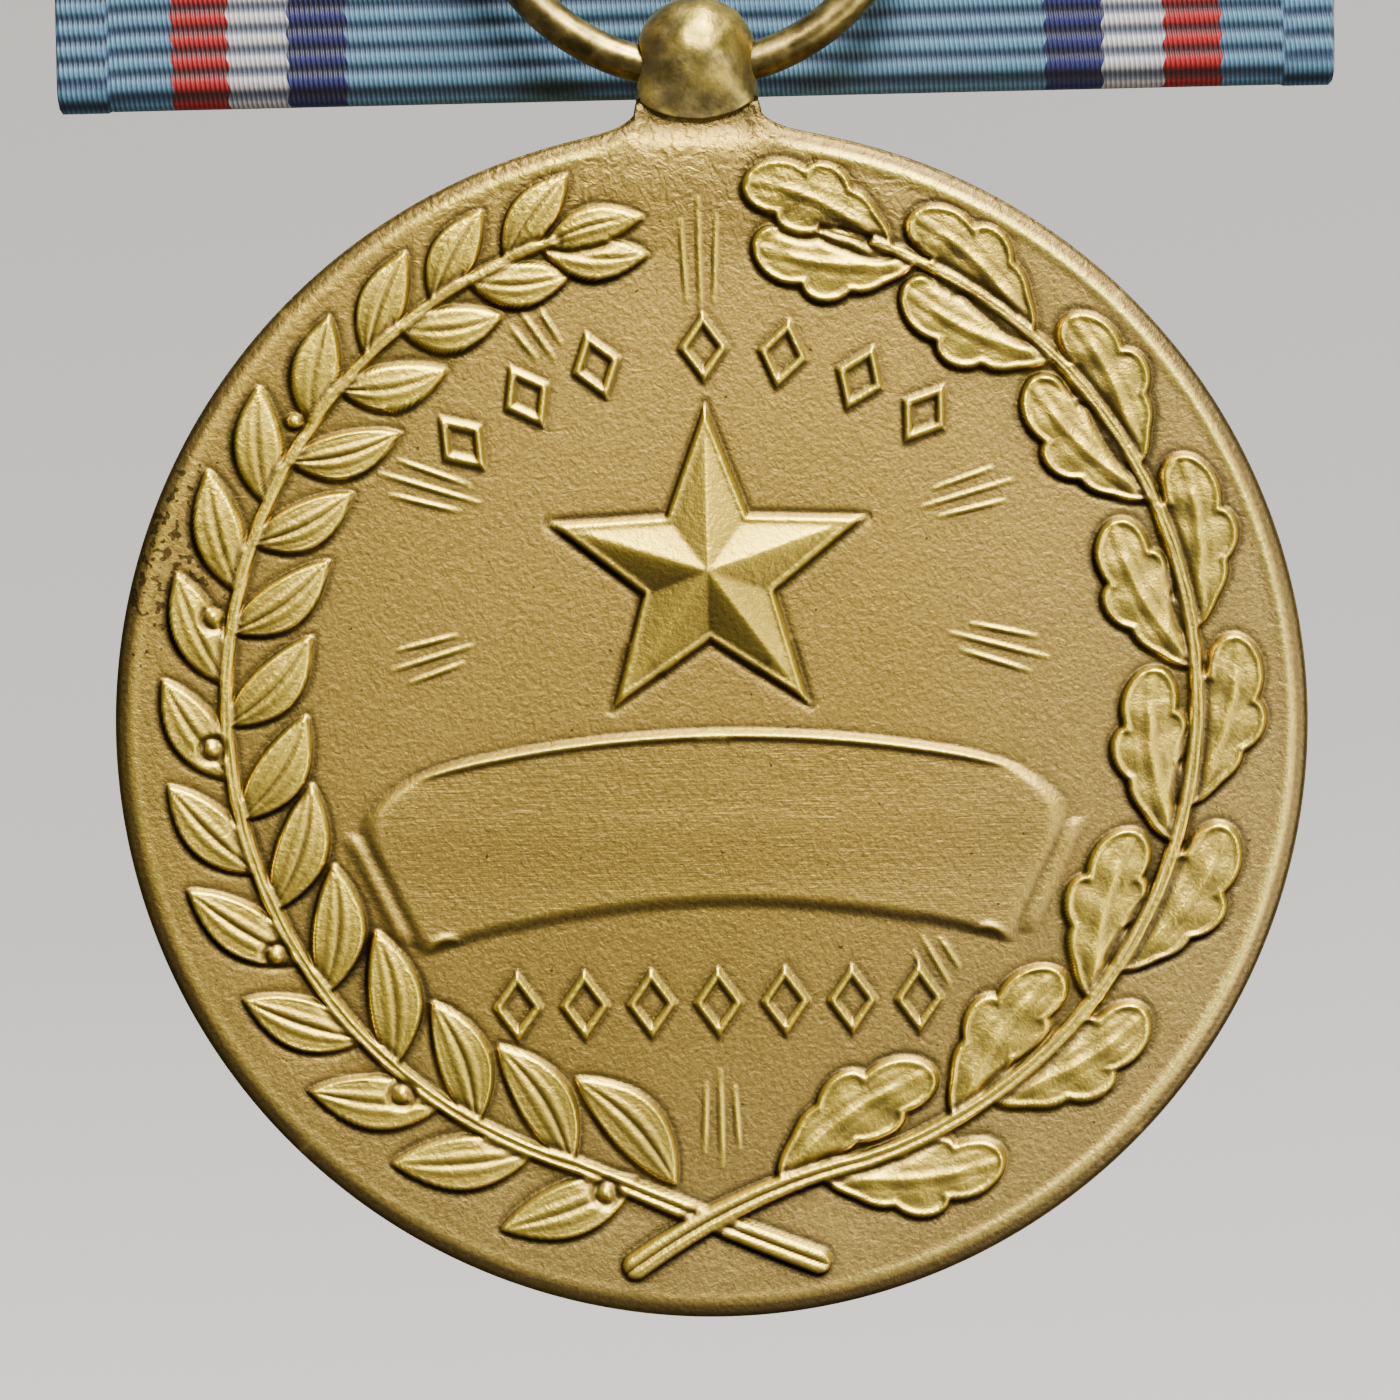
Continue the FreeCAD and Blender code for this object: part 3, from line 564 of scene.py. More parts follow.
def laurel(relief, rng):
    """Narrow leaves in pairs up the stem, one at its tip, and small round berries beside it."""
    pairs = [(a, 1) for a in spaced(10.7, 13.0, 0.145, 14)]
    pairs += [(a, -1) for a in spaced(5.8, 13.0, 0.145, 15)]
    for a, outer in pairs:
        up = a / STEM_TOP
        length = (3.85 - 1.05 * up) * rng.uniform(0.95, 1.05)
        tilt = (28 if outer == 1 else 42 - 17 * smooth((a - 120) / 40)) * rng.uniform(0.93, 1.07)
        leaf = (length, 1.46 - 0.3 * up, LEAF_H, 0.04 if outer == 1 else 0.075, outer)
        relief.paint(laurel_shape, leaf, stem_point(a), a - outer * tilt, length + 1, wall=0.12, side=-1)
    relief.paint(laurel_shape, (2.7, 0.95, LEAF_H), stem_point(STEM_TOP + 2), 166, 4, side=-1)
    path = stem_path(STEM_TOP + 3, butt=(-2.5, -14.42), middle=(0.75, -13.15))
    relief.paint(stem_shape, (path, 0.21, 0.24), wall=0.1, moat=0.15, side=-1)
    for k, a in enumerate(BERRY_ANGLES):
        at = polar(0.42 if k % 2 else 0.5, a - 90, stem_point(a))
        relief.paint(dot_shape, (0.2, 0.24), at, side=-1, reach=1.5, wall=0.1)


def oak(relief, rng):
    """Lobed leaves in pairs up the stem, each with two fine stalks beside its foot."""
    pairs = [(a, 1) for a in spaced(12.1, 22.8, 0.33, 8)]
    pairs += [(a, -1) for a in spaced(7.0, 22.9, 0.3, 8)]
    for a, outer in sorted(pairs):
        up = a / STEM_TOP
        length = (4.95 - 0.6 * up) * rng.uniform(0.97, 1.03)
        tilt = 9 - 4 * up if outer == 1 else 27 - 8 * up
        turn = a - outer * tilt * rng.uniform(0.9, 1.1)
        leaf = (length, 2.05, LEAF_H, outer)
        # the oak leaves are rubbed brighter, partly as a painted highlight
        relief.paint(oak_shape, leaf, stem_point(a), turn, length + 1, wall=0.12, shine=1.3)
        for k in (0, 1):
            spur = stem_point(a + 3.5 + 2 * k)
            spur_turn = turn + (6 + 7 * k) * outer
            relief.paint(line_shape, (1.3, 0.09, 0.14), spur, spur_turn, 1.5, wall=0.11, moat=0.1)
    path = stem_path(STEM_TOP, butt=(-2.35, -14.45), middle=(0.6, -12.45))
    relief.paint(stem_shape, (path, 0.22, 0.27), wall=0.1, moat=0.25)


RAY_GROUPS = (                  # degrees, start and length, from the star's middle
    (90.3, 6.7, 3.2), (124.5, 7.0, 1.6), (162, 6.4, 2.7), (196, 6.6, 2.2), (15.5, 6.0, 2.4),
    (-15.5, 6.7, 2.6), (-90, 13.3, 2.5), (-61, 11.3, 1.4))


def rays(relief):
    """Groups of three fine lines that point away from the star."""
    for degrees, start, length in RAY_GROUPS:
        middle = polar(start + length / 2, degrees, STAR_AT)
        for beside, share in ((-1, 0.72), (0, 1.0), (1, 0.66)):
            at = polar(0.42 * beside, degrees + 90, middle)
            line = (length * share, 0.08, 0.052)
            relief.paint(line_shape, line, at, degrees + 3 * beside, 4, wall=0.08, moat=0)


LOZENGE = ((0.66, 0.92), 0.2, 0.13)     # half its width and height, its stroke and its relief
LOZENGE_ARC_R = 9.93
LOZENGE_ANGLES = (40.6, 28.4, 16.7, 0.0, -12.3, -24.7, -36.0)   # to the left of the top
LOZENGE_ROW_Y, LOZENGE_STEP, LOZENGES_IN_ROW = -7.5, 1.78, 7


def ornaments(relief):
    """Open lozenges, in an arc over the star and in a row under the tablet."""
    for degrees in LOZENGE_ANGLES:
        at = polar(LOZENGE_ARC_R, 90 + degrees)
        relief.paint(lozenge_shape, LOZENGE, at, degrees, 2, wall=0.11, moat=0.2)
    for k in range(LOZENGES_IN_ROW):
        at = ((k - LOZENGES_IN_ROW // 2) * LOZENGE_STEP, LOZENGE_ROW_Y)
        relief.paint(lozenge_shape, LOZENGE, at, 0, 2, wall=0.11, moat=0.2)


def reverse_relief(x, y):
    """The side in the photograph: the star and the tablet inside a wreath of laurel and oak."""
    relief = Relief(x, y)
    rng = np.random.default_rng(7)
    relief.paint(curl_shape, (0.075,), wall=0.3, moat=0)
    relief.paint(tablet_shape, (0.13,), wall=0.22, moat=0.12)
    relief.brushed = relief.raised.copy()
    relief.raised *= 0
    rays(relief)
    ornaments(relief)
    relief.paint(star_shape, (STAR_R, 0.42 * STAR_R, 0.42, 0.09), STAR_AT, 0, 4.6, wall=0.12, moat=0.7)
    laurel(relief, rng)
    oak(relief, rng)
    return relief


def shield_outline(s, t):
    """Straight down to the middle, then two arcs that meet in a point."""
    flank = np.hypot(np.abs(s) + 2.48, np.minimum(t, 0)) - 6.68
    return soft_max(flank, t - 5.4, 0.2)


def shield_shape(s, t, height):
    """A shield with a raised border."""
    d = shield_outline(s, t)
    rim = 0.4 * bell(d + 0.25, 0.16)
    return d, height * (0.9 + rim + 0.25 * smooth(-d / 4))


def chevron_shape(s, t, height):
    """A chevron that ends inside the shield's border."""
    d = np.abs(t + 0.6 + 0.85 * np.abs(s)) * 0.76 - 0.55
    d = np.maximum(d, shield_outline(s, t) + 0.5)
    return d, height * (1 - 0.15 * np.clip(np.abs(d) / 0.5, 0, 1))


SUN_RAYS, SUN_RAYS_FROM_R = 24, 7.2
BEADS, BEAD_RING_R = 60, 13.3


def obverse_relief(x, y):
    """A plain shield with a chevron and a star, over rays, inside a ring of beads."""
    relief = Relief(x, y)
    for k in range(SUN_RAYS):
        a = 360 / SUN_RAYS * k
        length = 3.0 if k % 2 else 4.4
        at = polar(SUN_RAYS_FROM_R + length / 2, a)
        relief.paint(line_shape, (length, 0.26, 0.14), at, a, 4, wall=0.1, moat=0)
    relief.paint(shield_shape, (0.22,), reach=9)
    relief.paint(chevron_shape, (0.36,), reach=6, wall=0.2)
    relief.paint(star_shape, (1.4, 0.54, 0.12, 0.3), (0, 3.4), 0, 2, wall=0.1, moat=0.3)
    for k in range(BEADS):
        at = polar(BEAD_RING_R, 360 / BEADS * k)
        relief.paint(dot_shape, (0.42, 0.2), at, 0, 1, wall=0.12, moat=0.3)
    return relief


def disc_grid(rings):
    """The unit disc in rows and columns of points, by mapping the rings of a square to circles."""
    line = np.linspace(-1, 1, 2 * rings + 1)
    u, v = np.meshgrid(line, line)
    wide = np.abs(u) >= np.abs(v)
    r = np.where(wide, u, v)
    safe = np.where(r == 0, 1, r)
    turn = np.where(wide, math.pi / 4 * v / safe, math.pi / 2 - math.pi / 4 * u / safe)
    return r * np.cos(turn), r * np.sin(turn)


NECK_HALF_X = 1.62
NECK_FROM_R = 14.3              # the grid's points move out into the neck from here
SHOULDER = 0.42                 # how far the edge swells beside the neck, and how fast that dies away
RISE_FROM_R, BEVEL_FROM_R = 12.2, 15.3  # the field rises to the rim's crest between these
RIM_CREST_R = 15.36             # the highest line of the rim
RELIEF_R, SLOPES_R = 15.35, 15.2    # the relief, and the shading of its slopes, fade out before here
RIM_CRISP_AND_LIT_AT = 22               # degrees from the right, where the rim is least worn and its painted highlight is brightest


def on_the_disc(rings):
    """The grid's points in millimetres, stretched at the top into the neck."""
    x, y = disc_grid(rings)
    r = np.hypot(x, y) * MEDAL_R
    side = np.abs(np.sin(np.arctan2(x, y))) * MEDAL_R + np.where(y < 0, 99, 0)
    rise = NECK_TOP / np.sqrt(np.clip(1 - (side / MEDAL_R) ** 2, 0.1, 1)) - MEDAL_R
    shoulder = SHOULDER * np.exp(-np.maximum(side - NECK_HALF_X, 0) / SHOULDER)
    rise = shoulder + (rise - shoulder) * smooth((NECK_HALF_X + 0.06 - side) / 0.12)
    grown = r + rise * smooth((r - NECK_FROM_R) / (MEDAL_R - NECK_FROM_R))
    scale = grown / np.maximum(r, 1e-6)
    return x * MEDAL_R * scale, y * MEDAL_R * scale, r


def crisp_and_lit_rim(x, y):
    """How much of the rim's edge is left, 0 to 1, and how bright its painted highlight: nothing at the
    bottom, at the left and beside the neck.
    """
    cos, sin = polar(1, RIM_CRISP_AND_LIT_AT)
    toward = (x * cos + y * sin) / MEDAL_R
    beside_neck = 1 - smooth((3.6 - np.abs(x)) / 1.8) * (y > 0)
    return smooth((toward + 0.35) / 0.9) * beside_neck


def half_thickness(x, y, r, crisp_and_lit):
    """From the mid-plane to the bare face: a flat field, a low crest and a soft bevel outside it."""
    field, crest, edge, neck_half_y = 1.02, 0.13, 0.9, 1.0
    t = field + crest * smooth((r - RISE_FROM_R) / (BEVEL_FROM_R - RISE_FROM_R))
    t = t + (0.01 + 0.045 * crisp_and_lit) * bell(r - RIM_CREST_R, 0.13)
    bevel = np.clip((r - BEVEL_FROM_R) / (MEDAL_R - BEVEL_FROM_R), 0, 1)
    t = t - (field + crest - edge) * (1 - np.sqrt(1 - bevel**2.2 * 0.995))
    neck = smooth((2.1 - np.abs(x)) / 0.9) * smooth((y - 15.2) / 0.7)
    return t * (1 - neck) + neck_half_y * neck


def blurred(field, passes, width):
    """A field of values on the grid, averaged with its neighbours."""
    for _ in range(passes):
        for axis in (0, 1):
            total = sum(np.roll(field, k, axis) for k in range(-width, width + 1))
            field = total / (2 * width + 1)
    return field


PAINTED_LIGHT_SIDE = 62                # degrees from the right; the painted light comes from here, so slopes facing it are painted bright and the others shaded


def leaning(x, y, depth):
    """How steeply the surface climbs towards the painted light; where it does, it faces away and is painted
    in shade.
    """
    (xu, xv), (yu, yv), (du, dv) = (np.gradient(field) for field in (x, y, depth))
    det = xu * yv - xv * yu
    det = np.where(np.abs(det) < 1e-9, 1e-9, det)
    cos, sin = polar(1, PAINTED_LIGHT_SIDE)
    return ((du * yv - dv * yu) * cos + (dv * xu - du * xv) * sin) / det


def grid_faces(rows, columns, first=0, closed=False):
    """Quads of a grid of points, wrapped round its columns if closed."""
    index = np.arange(rows * columns).reshape(rows, columns) + first
    if closed:
        index = np.concatenate([index, index[:, :1]], axis=1)
    corners = (index[:-1, :-1], index[:-1, 1:], index[1:, 1:], index[1:, :-1])
    return np.stack(corners, axis=-1).reshape(-1, 4)


def boundary(rows, columns):
    """A grid's outer points, in order round it, from the start of its last row."""
    index = np.arange(rows * columns).reshape(rows, columns)
    return np.concatenate([index[-1, :-1], index[:0:-1, -1], index[0, :0:-1], index[:-1, 0]])


def shading(x, y, r, depth, rings):
    """0 in the deepest hollows, 0.5 on the bare field and 1 on the sharpest edges, with painted light and
    shade on the slopes.
    """
    near, far = blurred(depth, 2, rings // 130), blurred(depth, 3, rings // 40)
    shade = 0.5 + 0.25 * ((depth - near) / 0.05 + (depth - far) / 0.36)
    flat = smooth((SLOPES_R - r) / 0.3)
    steep, foot = leaning(x, y, depth) * flat, leaning(x, y, near) * flat
    # painted shade on slopes that face away from the light, and a painted highlight on those that face it
    shade = shade - 0.3 * np.clip(steep - 0.05, 0, 1.3) + 0.27 * np.clip(-steep - 0.05, 0, 1.2)
    # a painted shadow on the field at the foot of the slopes that face away from the light
    return shade - 0.3 * np.clip(foot - 0.08, 0, 1.0)


def struck_face(rings, make_relief, facing):
    """One face: its points, its quads, its outer loop and the values in MARKS that its material reads."""
    x, y, r = on_the_disc(rings)
    seen_x = facing * x
    relief = make_relief(seen_x.ravel(), y.ravel())
    inside = smooth((RELIEF_R - r.ravel()) / 0.3)
    crisp_and_lit = crisp_and_lit_rim(seen_x, y)
    depth = half_thickness(x, y, r, crisp_and_lit) + (relief.height * inside).reshape(x.shape)
    # the shading, plus a painted highlight along the rim's crest, brightest where the rim is crisp
    patina_and_painted_light = shading(seen_x, y, r, depth, rings) + (0.02 + 0.42 * crisp_and_lit) * bell(r - RIM_CREST_R, 0.13)
    # the outer bevel is painted darker, as painted shade
    patina_and_painted_light = np.clip(patina_and_painted_light - 0.2 * smooth((r - RIM_CREST_R - 0.1) / 0.15), 0, 1).ravel()
    # rubbed wear on the raised parts, stronger where the painted light falls, so partly a painted highlight
    worn = relief.raised * inside * np.clip((patina_and_painted_light - 0.33) * 2.5, 0, 1)
    points = np.stack([x, -facing * depth, y + MEDAL_Z], axis=-1).reshape(-1, 3)
    quads = grid_faces(*x.shape)[:, ::facing]
    return points, quads, boundary(*x.shape), (patina_and_painted_light, worn, relief.brushed)


def mesh_object(name, points, faces, attributes=()):
    """A smooth-shaded mesh from points in millimetres."""
    mesh = bpy.data.meshes.new(name)
    mesh.from_pydata((np.asarray(points) * MM).tolist(), [], [list(map(int, f)) for f in faces])
    for key, values in attributes:
        mesh.attributes.new(key, "FLOAT", "POINT").data.foreach_set("value", values.astype(np.float32))
    mesh.polygons.foreach_set("use_smooth", [True] * len(mesh.polygons))
    mesh.update()
    obj = bpy.data.objects.new(name, mesh)
    bpy.context.scene.collection.objects.link(obj)
    return obj


def finish_piece(obj, slot, body, *replaced):
    """Gives a piece its material and its body, and hides the nodes that it stands for."""
    obj.data.materials.append(SLOT_MATERIALS[slot])
    if replaced:
        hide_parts(*replaced)
    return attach(obj, body) if body else obj


FACE_RINGS = 260
WALL_ROWS = 7
MARKS, PLAIN_WALL = ("patina_and_painted_light", "worn", "brushed"), (0.5, 0, 0)


def medallion():
    """Both struck faces on one closed mesh, joined by the plain edge."""
    front, faces, loop, marks = struck_face(FACE_RINGS, reverse_relief, 1)
    back, back_faces, back_loop, back_marks = struck_face(FACE_RINGS // 2, obverse_relief, -1)
    rim, coarse = front[loop], back[back_loop]
    back_rim = np.repeat(coarse, 2, axis=0)
    back_rim[1::2] = (coarse + np.roll(coarse, -1, axis=0)) / 2
    down = np.arange(1, WALL_ROWS)[:, None, None] / WALL_ROWS
    wall = (rim * (1 - down) + back_rim * down).reshape(-1, 3)
    back_start = len(front) + len(wall)
    rings = [loop, *(np.arange(len(wall)).reshape(-1, len(rim)) + len(front))]
    groups = [faces, back_faces + back_start]
    for a, b in zip(rings, rings[1:]):
        groups.append(np.stack([b, np.roll(b, -1), np.roll(a, -1), a], axis=-1))
    # the back is coarser, so three triangles join two of its points to three of the last row
    a, b, p = rings[-1][::2], rings[-1][1::2], back_loop + back_start
    c, q = np.roll(a, -1), np.roll(p, -1)
    groups += [np.stack(corners, axis=-1) for corners in ((p, b, a), (p, q, b), (q, c, b))]
    attributes = [(key, np.concatenate([mark, np.full(len(wall), plain), back_mark]))
                  for key, plain, mark, back_mark in zip(MARKS, PLAIN_WALL, marks, back_marks)]
    points = np.concatenate([front, wall, back])
    return mesh_object("medallion_struck", points, [f for group in groups for f in group], attributes)


# -------------------- the lug, the ring and the soft parts


def tube_faces(rows, columns, first=0):
    """Quads round a tube of points, and a flat face at both ends."""
    last = first + (rows - 1) * columns
    ends = [range(first + columns - 1, first - 1, -1), range(last, last + columns)]
    return [*grid_faces(rows, columns, first, True), *ends]


def dimpled(points, size, depth):
    """Points moved a little along their own direction from the origin by smooth noise."""
    moved = [p + p.normalized() * depth * mathutils_noise.noise(p / size) for p in map(Vector, points)]
    return np.array(moved)


LUG_DOME_Z = lug_high[2] - LUG_R
LUG_FOOT_R = 2.6
LUG_EDGE = 0.04                 # rounding of the lug's lower edge
LUG_TUCK_H, LUG_TUCK = 1.7, 0.27    # over this height the lug draws in by this share, front and back
LUG_KNOCKS = (                  # place from the middle of the bore, reach and depth
    ((-0.2, -1.64, -0.1), 0.34, 0.07), ((0.5, -1.55, -0.35), 0.26, 0.07), ((0.15, -1.63, 0.45), 0.3, 0.04),
    ((0.95, -1.35, 0.2), 0.3, 0.05), ((-0.9, 1.35, 0.4), 0.35, 0.06))
BORE_R, SLOT_HALF_Y = 0.75, 1.0
BORE_Z = LUG_DOME_Z - 0.2


def lug_body():
    """A bead on a short barrel whose underside is round from side to side, with a few knocks."""
    columns = 72
    turn = np.linspace(0, 2 * math.pi, columns, endpoint=False)
    cos, sin = np.cos(turn), np.sin(turn)
    foot_z = lug_low[2]

    def underside(r):
        return foot_z + LUG_FOOT_R - np.sqrt(LUG_FOOT_R**2 - (r * cos) ** 2)

    def section(r, z):
        """One loop: a circle that is squared off and drawn in where the lug straddles the neck."""
        deep = 1 - LUG_TUCK * smooth((foot_z + LUG_TUCK_H - z) / LUG_TUCK_H)
        square = smooth((BORE_Z - 0.2 - z) / 0.95)
        level = np.abs(sin) * (1 - square) + (1 - np.abs(cos) ** 5) ** (1 / 5) * square
        return np.stack([r * cos, r * deep * level * np.sign(sin), z], axis=-1)

    rows = [(r, np.full(columns, z)) for r, z in bend((0, LUG_DOME_Z), LUG_R, 90, 0, 25)[1:]]
    for t in np.linspace(0, 1, 16)[1:]:
        rows.append((LUG_R, LUG_DOME_Z * (1 - t) + (underside(LUG_R) + LUG_EDGE) * t))
    for a in np.radians(np.arange(15, 91, 15)):
        r = LUG_R - LUG_EDGE * (1 - math.cos(a))
        rows.append((r, underside(r) + LUG_EDGE * (1 - math.sin(a))))
    for r in (LUG_R * 0.7, LUG_R * 0.4, LUG_R * 0.12):
        rows.append((r, underside(r)))
    points = np.concatenate([section(r, z) for r, z in rows])
    count = len(points)
    ends = np.array([[0, 0, LUG_DOME_Z + LUG_R], [0, 0, foot_z]])
    faces = grid_faces(len(rows), columns, 0, True).tolist()
    for k in range(columns):
        after = (k + 1) % columns
        faces.append([count, after, k])
        faces.append([count + 1, count - columns + k, count - columns + after])
    points = np.concatenate([points, ends])
    middle = np.array([0, 0, BORE_Z])
    local = dimpled(points - middle, 0.55, 0.05)
    for at, reach, depth in LUG_KNOCKS:
        near = bell(np.linalg.norm(local - np.array(at), axis=1), reach)
        local -= (local / np.linalg.norm(local, axis=1, keepdims=True)) * (near * depth)[:, None]
    return mesh_object("lug_bead", local + middle, [f[::-1] for f in faces])


def bore_cutter(r, half_length, at_z):
    sides = 48
    turn = np.linspace(0, 2 * math.pi, sides, endpoint=False)
    points = [(x, r * math.cos(t), at_z + r * math.sin(t)) for x in (-half_length, half_length) for t in turn]
    return mesh_object("cutter", points, tube_faces(2, sides))


def slot_cutter(half_y, low, high):
    points = [(x, y, z) for x in (-3, 3) for y in (-half_y, half_y) for z in (low, high)]
    faces = [(0, 1, 3, 2), (4, 6, 7, 5), (0, 4, 5, 1), (2, 3, 7, 6), (0, 2, 6, 4), (1, 5, 7, 3)]
    return mesh_object("cutter", points, faces)


def carved(obj, cutters):
    """obj with the cutters taken out of it."""
    for tool in cutters:
        cut = obj.modifiers.new("cut", "BOOLEAN")
        cut.operation, cut.solver, cut.object = "DIFFERENCE", "EXACT", tool
    bpy.context.view_layer.update()
    evaluated = obj.evaluated_get(bpy.context.evaluated_depsgraph_get())
    mesh = bpy.data.meshes.new_from_object(evaluated)
    obj.modifiers.clear()
    obj.data = mesh
    for tool in cutters:
        bpy.data.objects.remove(tool)
    mesh.polygons.foreach_set("use_smooth", [True] * len(mesh.polygons))
    mesh.set_sharp_from_angle(angle=CREASE)
    return obj


def suspension_lug():
    """The lug, bored for the ring and slotted for the neck."""
    slot_top = MEDAL_Z + NECK_TOP + 0.12
    cuts = [bore_cutter(BORE_R, 2.5, BORE_Z), slot_cutter(SLOT_HALF_Y, lug_low[2] - 1, slot_top)]
    return carved(lug_body(), cuts)


def suspension_ring():
    """Round wire bent to a ring, not quite true, a little worn where it hangs."""
    around, section = ((320, 36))
    turn = np.linspace(0, 2 * math.pi, around, endpoint=False)[:, None]
    about = np.linspace(0, 2 * math.pi, section, endpoint=False)[None, :]
    uneven = 0.012 * np.sin(3 * turn + 1) * np.cos(about - turn) + 0.01 * np.sin(11 * turn)
    wire = WIRE_R * (1 - 0.02 - uneven)
    wire = wire - 0.03 * bell(turn - math.pi * 1.5, 0.25) * (1 - np.cos(about))
    r = RING_R + wire * np.cos(about)
    points = np.stack([r * np.cos(turn), wire * np.sin(about), RING_Z + r * np.sin(turn)], axis=-1)
    faces = grid_faces(around + 1, section, 0, True) % (around * section)
    return mesh_object("ring_wire", points.reshape(-1, 3), faces)


def resampled(dense, step):
    """Even steps along a dense path: the points, the unit normals and the lengths."""
    dense = np.asarray(dense)
    lengths = np.concatenate([[0], np.cumsum(np.hypot(*np.diff(dense, axis=0).T))])
    s = np.linspace(0, lengths[-1], int(round(lengths[-1] / step)) + 1)
    path = np.stack([np.interp(s, lengths, dense[:, k]) for k in (0, 1)], axis=-1)
    tangent = np.gradient(path, axis=0)
    tangent /= np.linalg.norm(tangent, axis=1, keepdims=True)
    return path, np.stack([tangent[:, 1], -tangent[:, 0]], axis=-1), s


def thick_sheet(name, outer, inner, attributes):
    """A closed mesh from two grids of points, joined along their edges."""
    grid = rows, columns = outer.shape[:2]
    count = rows * columns
    ring = boundary(rows, columns)
    after = np.roll(ring, -1)
    sides = np.stack([ring, after, after + count, ring + count], axis=-1)
    faces = [grid_faces(rows, columns), grid_faces(rows, columns, count)[:, ::-1], sides]
    points = np.concatenate([outer.reshape(-1, 3), inner.reshape(-1, 3)])
    twice = [(key, np.tile(np.broadcast_to(values, grid).ravel(), 2)) for key, values in attributes]
    return mesh_object(name, points, np.concatenate(faces), twice)


RIBBON_T = 0.35
STRAP_W = 10.0
STRAP_BEND_Z = -13.9            # below its stitches, where the strap leaves the ribbon
STRAP_GATHER_Z = -16.4          # where its folds are deepest
LAYER_R = 0.575                 # from the middle of the two layers to the middle of either
SELVEDGE = 1.45                 # width of the woven edge
GROOVE_DEPTH = 0.075
RIB_ROWS = 8


def ribs(s, x, half_w):
    """0 in a groove and 1 on a rib; the woven edges are out of step with the rest."""
    edge = smooth((np.abs(x) - half_w + SELVEDGE) / 0.12)
    f = (s / RIB_PITCH + 0.375 * edge) % 1
    return 0.5 - 0.5 * np.cos(2 * math.pi * f)


def ribbed(name, position, s, x, half_w, lift):
    """A ribbed sheet: position(offset) gives the points at that distance from its middle."""
    rib = ribs(s, x, half_w)
    offset = RIBBON_T / 2 * 0.97 - GROOVE_DEPTH * (1 - rib) ** 1.5
    offset = offset * np.minimum(1, (half_w - np.abs(x)) / 0.12 + 0.35)
    attributes = (("across", x), ("along", s), ("rib", rib))
    return thick_sheet(name, position(offset + lift), position(lift - offset), attributes)


def ribbon_columns(half_w):
    """Places across the ribbon, closer together at the edges."""
    inner = half_w - SELVEDGE
    middle = np.linspace(-inner, inner, 48)
    edge = inner + np.array([0.12, 0.5, 0.9, 1.2, 1.35, 1.45])
    return np.concatenate([-edge[::-1], middle, edge])


def ribbon():
    """One length of ribbon over the core bar, down the front, round the bottom and up the back."""
    back = RIBBON_Y - LAYER_R
    top_z, low_z = head_high[2] - LAYER_R - RIBBON_T / 2, drape_low[2] + LAYER_R + RIBBON_T / 2
    dense = [(back, 0.3)] + bend((RIBBON_Y, top_z), LAYER_R, 180, 0)
    dense += bend((RIBBON_Y, low_z), LAYER_R, 0, -180) + [(back, -0.3)]
    path, normal, s = resampled(dense, RIB_PITCH / RIB_ROWS)
    x = ribbon_columns(RIBBON_W / 2)
    s, x = s[:, None], x[None, :]
    y, z = path[:, :1], path[:, 1:]
    loose = smooth((-7.0 - z) / 8) * smooth((z - low_z) / 3)
    loose = loose * np.where(y > RIBBON_Y, 1, 0.25)
    wave = 0.07 * np.sin(z * 0.42 + x * 0.13) + 0.05 * np.sin(x * 0.31 - z * 0.17 + 1)
    lift = loose * wave * np.where(y > RIBBON_Y, -1, 1)

    def position(offset):
        across = x * (1 - 0.002 * np.sin(z * 0.5 + x))
        across = np.clip(across, -RIBBON_W / 2, RIBBON_W / 2)
        return np.stack([across, y - normal[:, :1] * offset, z - normal[:, 1:] * offset], axis=-1)

    piece = ribbed("ribbon_strip", position, s, x, RIBBON_W / 2, lift)
    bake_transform(piece)
    return piece


def strap():
    """The narrow loop: sewn behind the drape, gathered, and passed under the top of the ring."""
    top_half, foot_half = STRAP_W / 2, 2.55
    sewn = tab_low[1] + RIBBON_T / 2
    plies = (sewn, sewn + RIBBON_T)
    ring_top = RING_Z + RING_R
    round_r = WIRE_R + 0.12 + RIBBON_T / 2
    dense = [(plies[0], tab_high[2] - 0.05), (plies[0], STRAP_BEND_Z), (-round_r, ring_top + 0.26)]
    dense += bend((0, ring_top), round_r, 180, 360)
    dense += [(round_r, ring_top + 0.26), (plies[1], STRAP_BEND_Z), (plies[1], tab_high[2] - 0.05)]
    path, normal, s = resampled(dense, RIB_PITCH / RIB_ROWS)
    for _ in range(2 * RIB_ROWS):
        normal[1:-1] = (normal[:-2] + normal[1:-1] + normal[2:]) / 3
        path[1:-1] = (path[:-2] + path[1:-1] + path[2:]) / 3
    s = s[:, None]
    y, z = path[:, :1], path[:, 1:]
    share = np.linspace(-1, 1, 41)[None, :]
    narrow_from = STRAP_BEND_Z - 0.1
    down = smooth((narrow_from - z) / (narrow_from - ring_top - 0.4))
    half = top_half + (foot_half - top_half) * down
    x = share * half
    sag = (RING_R - np.sqrt(RING_R**2 - x**2)) * down
    gather = 0.1 * bell(z - STRAP_GATHER_Z, 1.5) * np.cos(share * 3.2 * math.pi)

    def position(offset):
        return np.stack([x, y + gather - normal[:, :1] * offset, z - sag - normal[:, 1:] * offset], axis=-1)

    narrow = share * top_half
    piece = ribbed("loop_strap", position, s, narrow, top_half, 0.0)
    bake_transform(piece)
    return piece


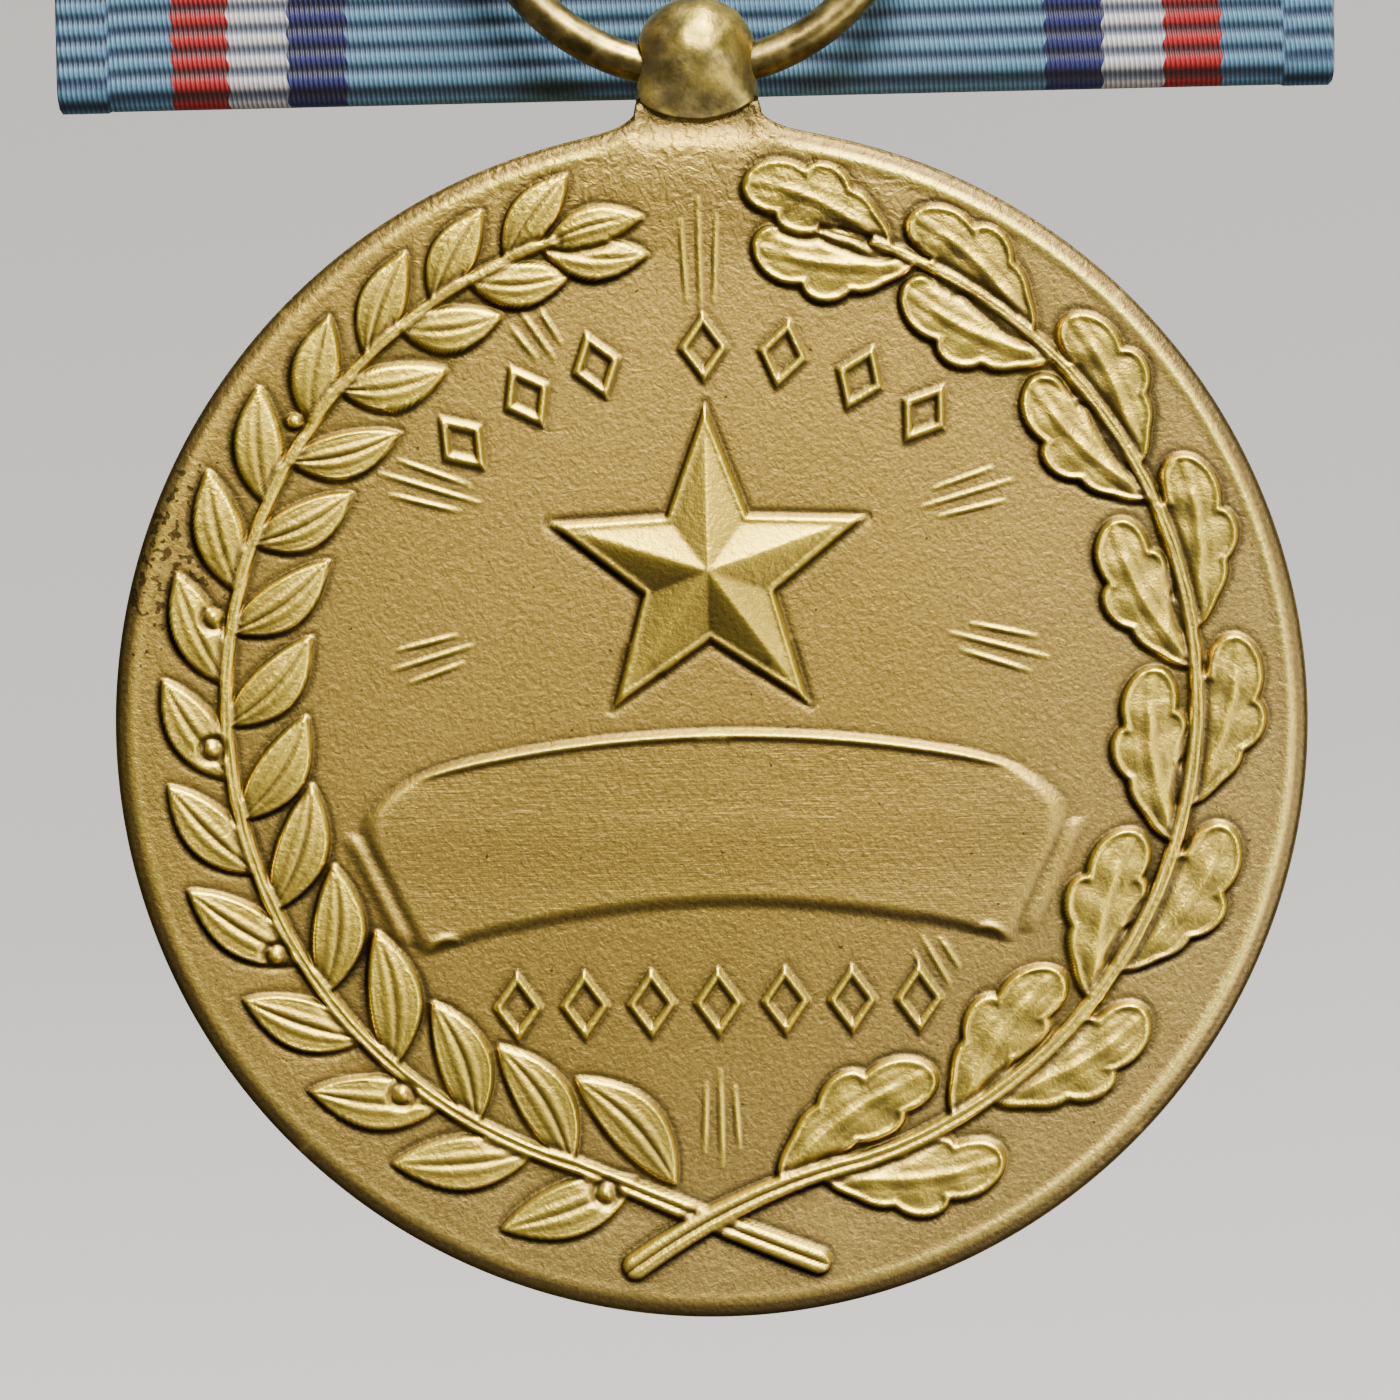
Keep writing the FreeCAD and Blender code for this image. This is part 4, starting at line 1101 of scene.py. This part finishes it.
def stitches():
    """Rows of short thread stitches that dip into the cloth at both ends."""
    rows, in_row, length, r = 3, 5, 1.1, 0.12
    pitch_x = (tab_high[0] - tab_low[0]) / in_row
    pitch_z = (tab_high[2] - tab_low[2]) / rows
    steps, sides = 9, 8
    about = np.linspace(0, 2 * math.pi, sides, endpoint=False)
    points, faces = [], []
    rng = np.random.default_rng(3)
    for row in range(rows):
        for k in range(in_row):
            lean, slip = rng.uniform(-0.08, 0.08), rng.uniform(-0.06, 0.06)
            x0 = tab_low[0] + pitch_x * (k + 0.5) + slip
            z0 = tab_low[2] + pitch_z * (row + 0.5)
            faces += tube_faces(steps, sides, len(points))
            for t in np.linspace(-1, 1, steps):
                dip = 0.16 * abs(t) ** 3
                for a in about:
                    z = z0 + lean * t + r * math.sin(a)
                    points.append((x0 + t * length / 2, tab_low[1] - 0.02 + dip - r * math.cos(a), z))
    return mesh_object("stitch_threads", points, faces)


METALS = {                      # dull, bright, rough, worn, dent_mm, mottling and spot
    "ring_brass": ((0.19, 0.138, 0.045), (0.5, 0.37, 0.105), 0.33, (0.4, 0.66), 0.01, (0.7, 1.2)),
    "brooch_brass": ((0.57, 0.42, 0.17), (0.66, 0.49, 0.2), 0.36, (0.3, 0.7), 0.002, (0.95, 1.04)),
    "pin_steel": ((0.42, 0.41, 0.39), (0.6, 0.59, 0.57), 0.28, (0.35, 0.6), 0.002, (0.92, 1.06)),
    "lug_bronze": (
        (0.34, 0.26, 0.09), (0.55, 0.412, 0.09), 0.4, (0.46, 0.62), 0.025, (0.7, 1.2),
        # its spot is a painted highlight on the upper right of the lug's front
        ((0.55, -1.2, BORE_Z + 0.65), 1.6))}
SLOT_MATERIALS = {name: worn_metal(name, *look) for name, look in METALS.items()}
SLOT_MATERIALS.update(struck_bronze=struck_bronze(), ribbon=grosgrain(), thread=thread_material())

finish_piece(medallion(), "struck_bronze", "medallion", "medallion")
finish_piece(suspension_lug(), "lug_bronze", "medallion", "suspension_lug")
finish_piece(suspension_ring(), "ring_brass", "ring", "suspension_ring")
finish_piece(stitches(), "thread", "drape", "loop_stitches")
finish_piece(ribbon(), "ribbon", None, "ribbon_head", "ribbon_drape")
finish_piece(strap(), "ribbon", None, "ribbon_loop", "loop_tab")

for row in frame["record"]["subparts"]:
    carried = frame["nodes"][row["node"]]
    carried.data.materials.clear()
    carried.data.materials.append(SLOT_MATERIALS[row["material_slot"]])

STAMPED_EDGE = 0.07             # rounding of the brooch's sheet metal edges
for name in ("back_plate", "hinge_bracket", "hinge_rivet", "catch_post", "catch_sleeve"):
    softened = frame["nodes"][name].modifiers.new("edges", "BEVEL")
    softened.width, softened.segments, softened.limit_method = STAMPED_EDGE * MM, 2, "ANGLE"
    softened.angle_limit = CREASE
    softened.harden_normals = True


def backdrop():
    """A seamless pale bowl: a floor well below the medal that curves up into a wall all round."""
    floor_z, wall_r, bend_r, top_z, sides = -420.0, 950.0, 500.0, 1500.0, 96
    curve = bend((wall_r - bend_r, floor_z + bend_r), bend_r, -90, 0, 25)
    profile = [(0.5, floor_z), *curve, (wall_r, top_z)]
    turn = np.linspace(0, 2 * math.pi, sides, endpoint=False)
    points = [(r * math.cos(t), r * math.sin(t), z) for r, z in profile for t in turn]
    obj = mesh_object("backdrop", points, grid_faces(len(profile), sides, 0, True))
    obj.data.materials.append(stage_material())
    obj.visible_glossy = obj.visible_diffuse = obj.visible_shadow = False


backdrop()
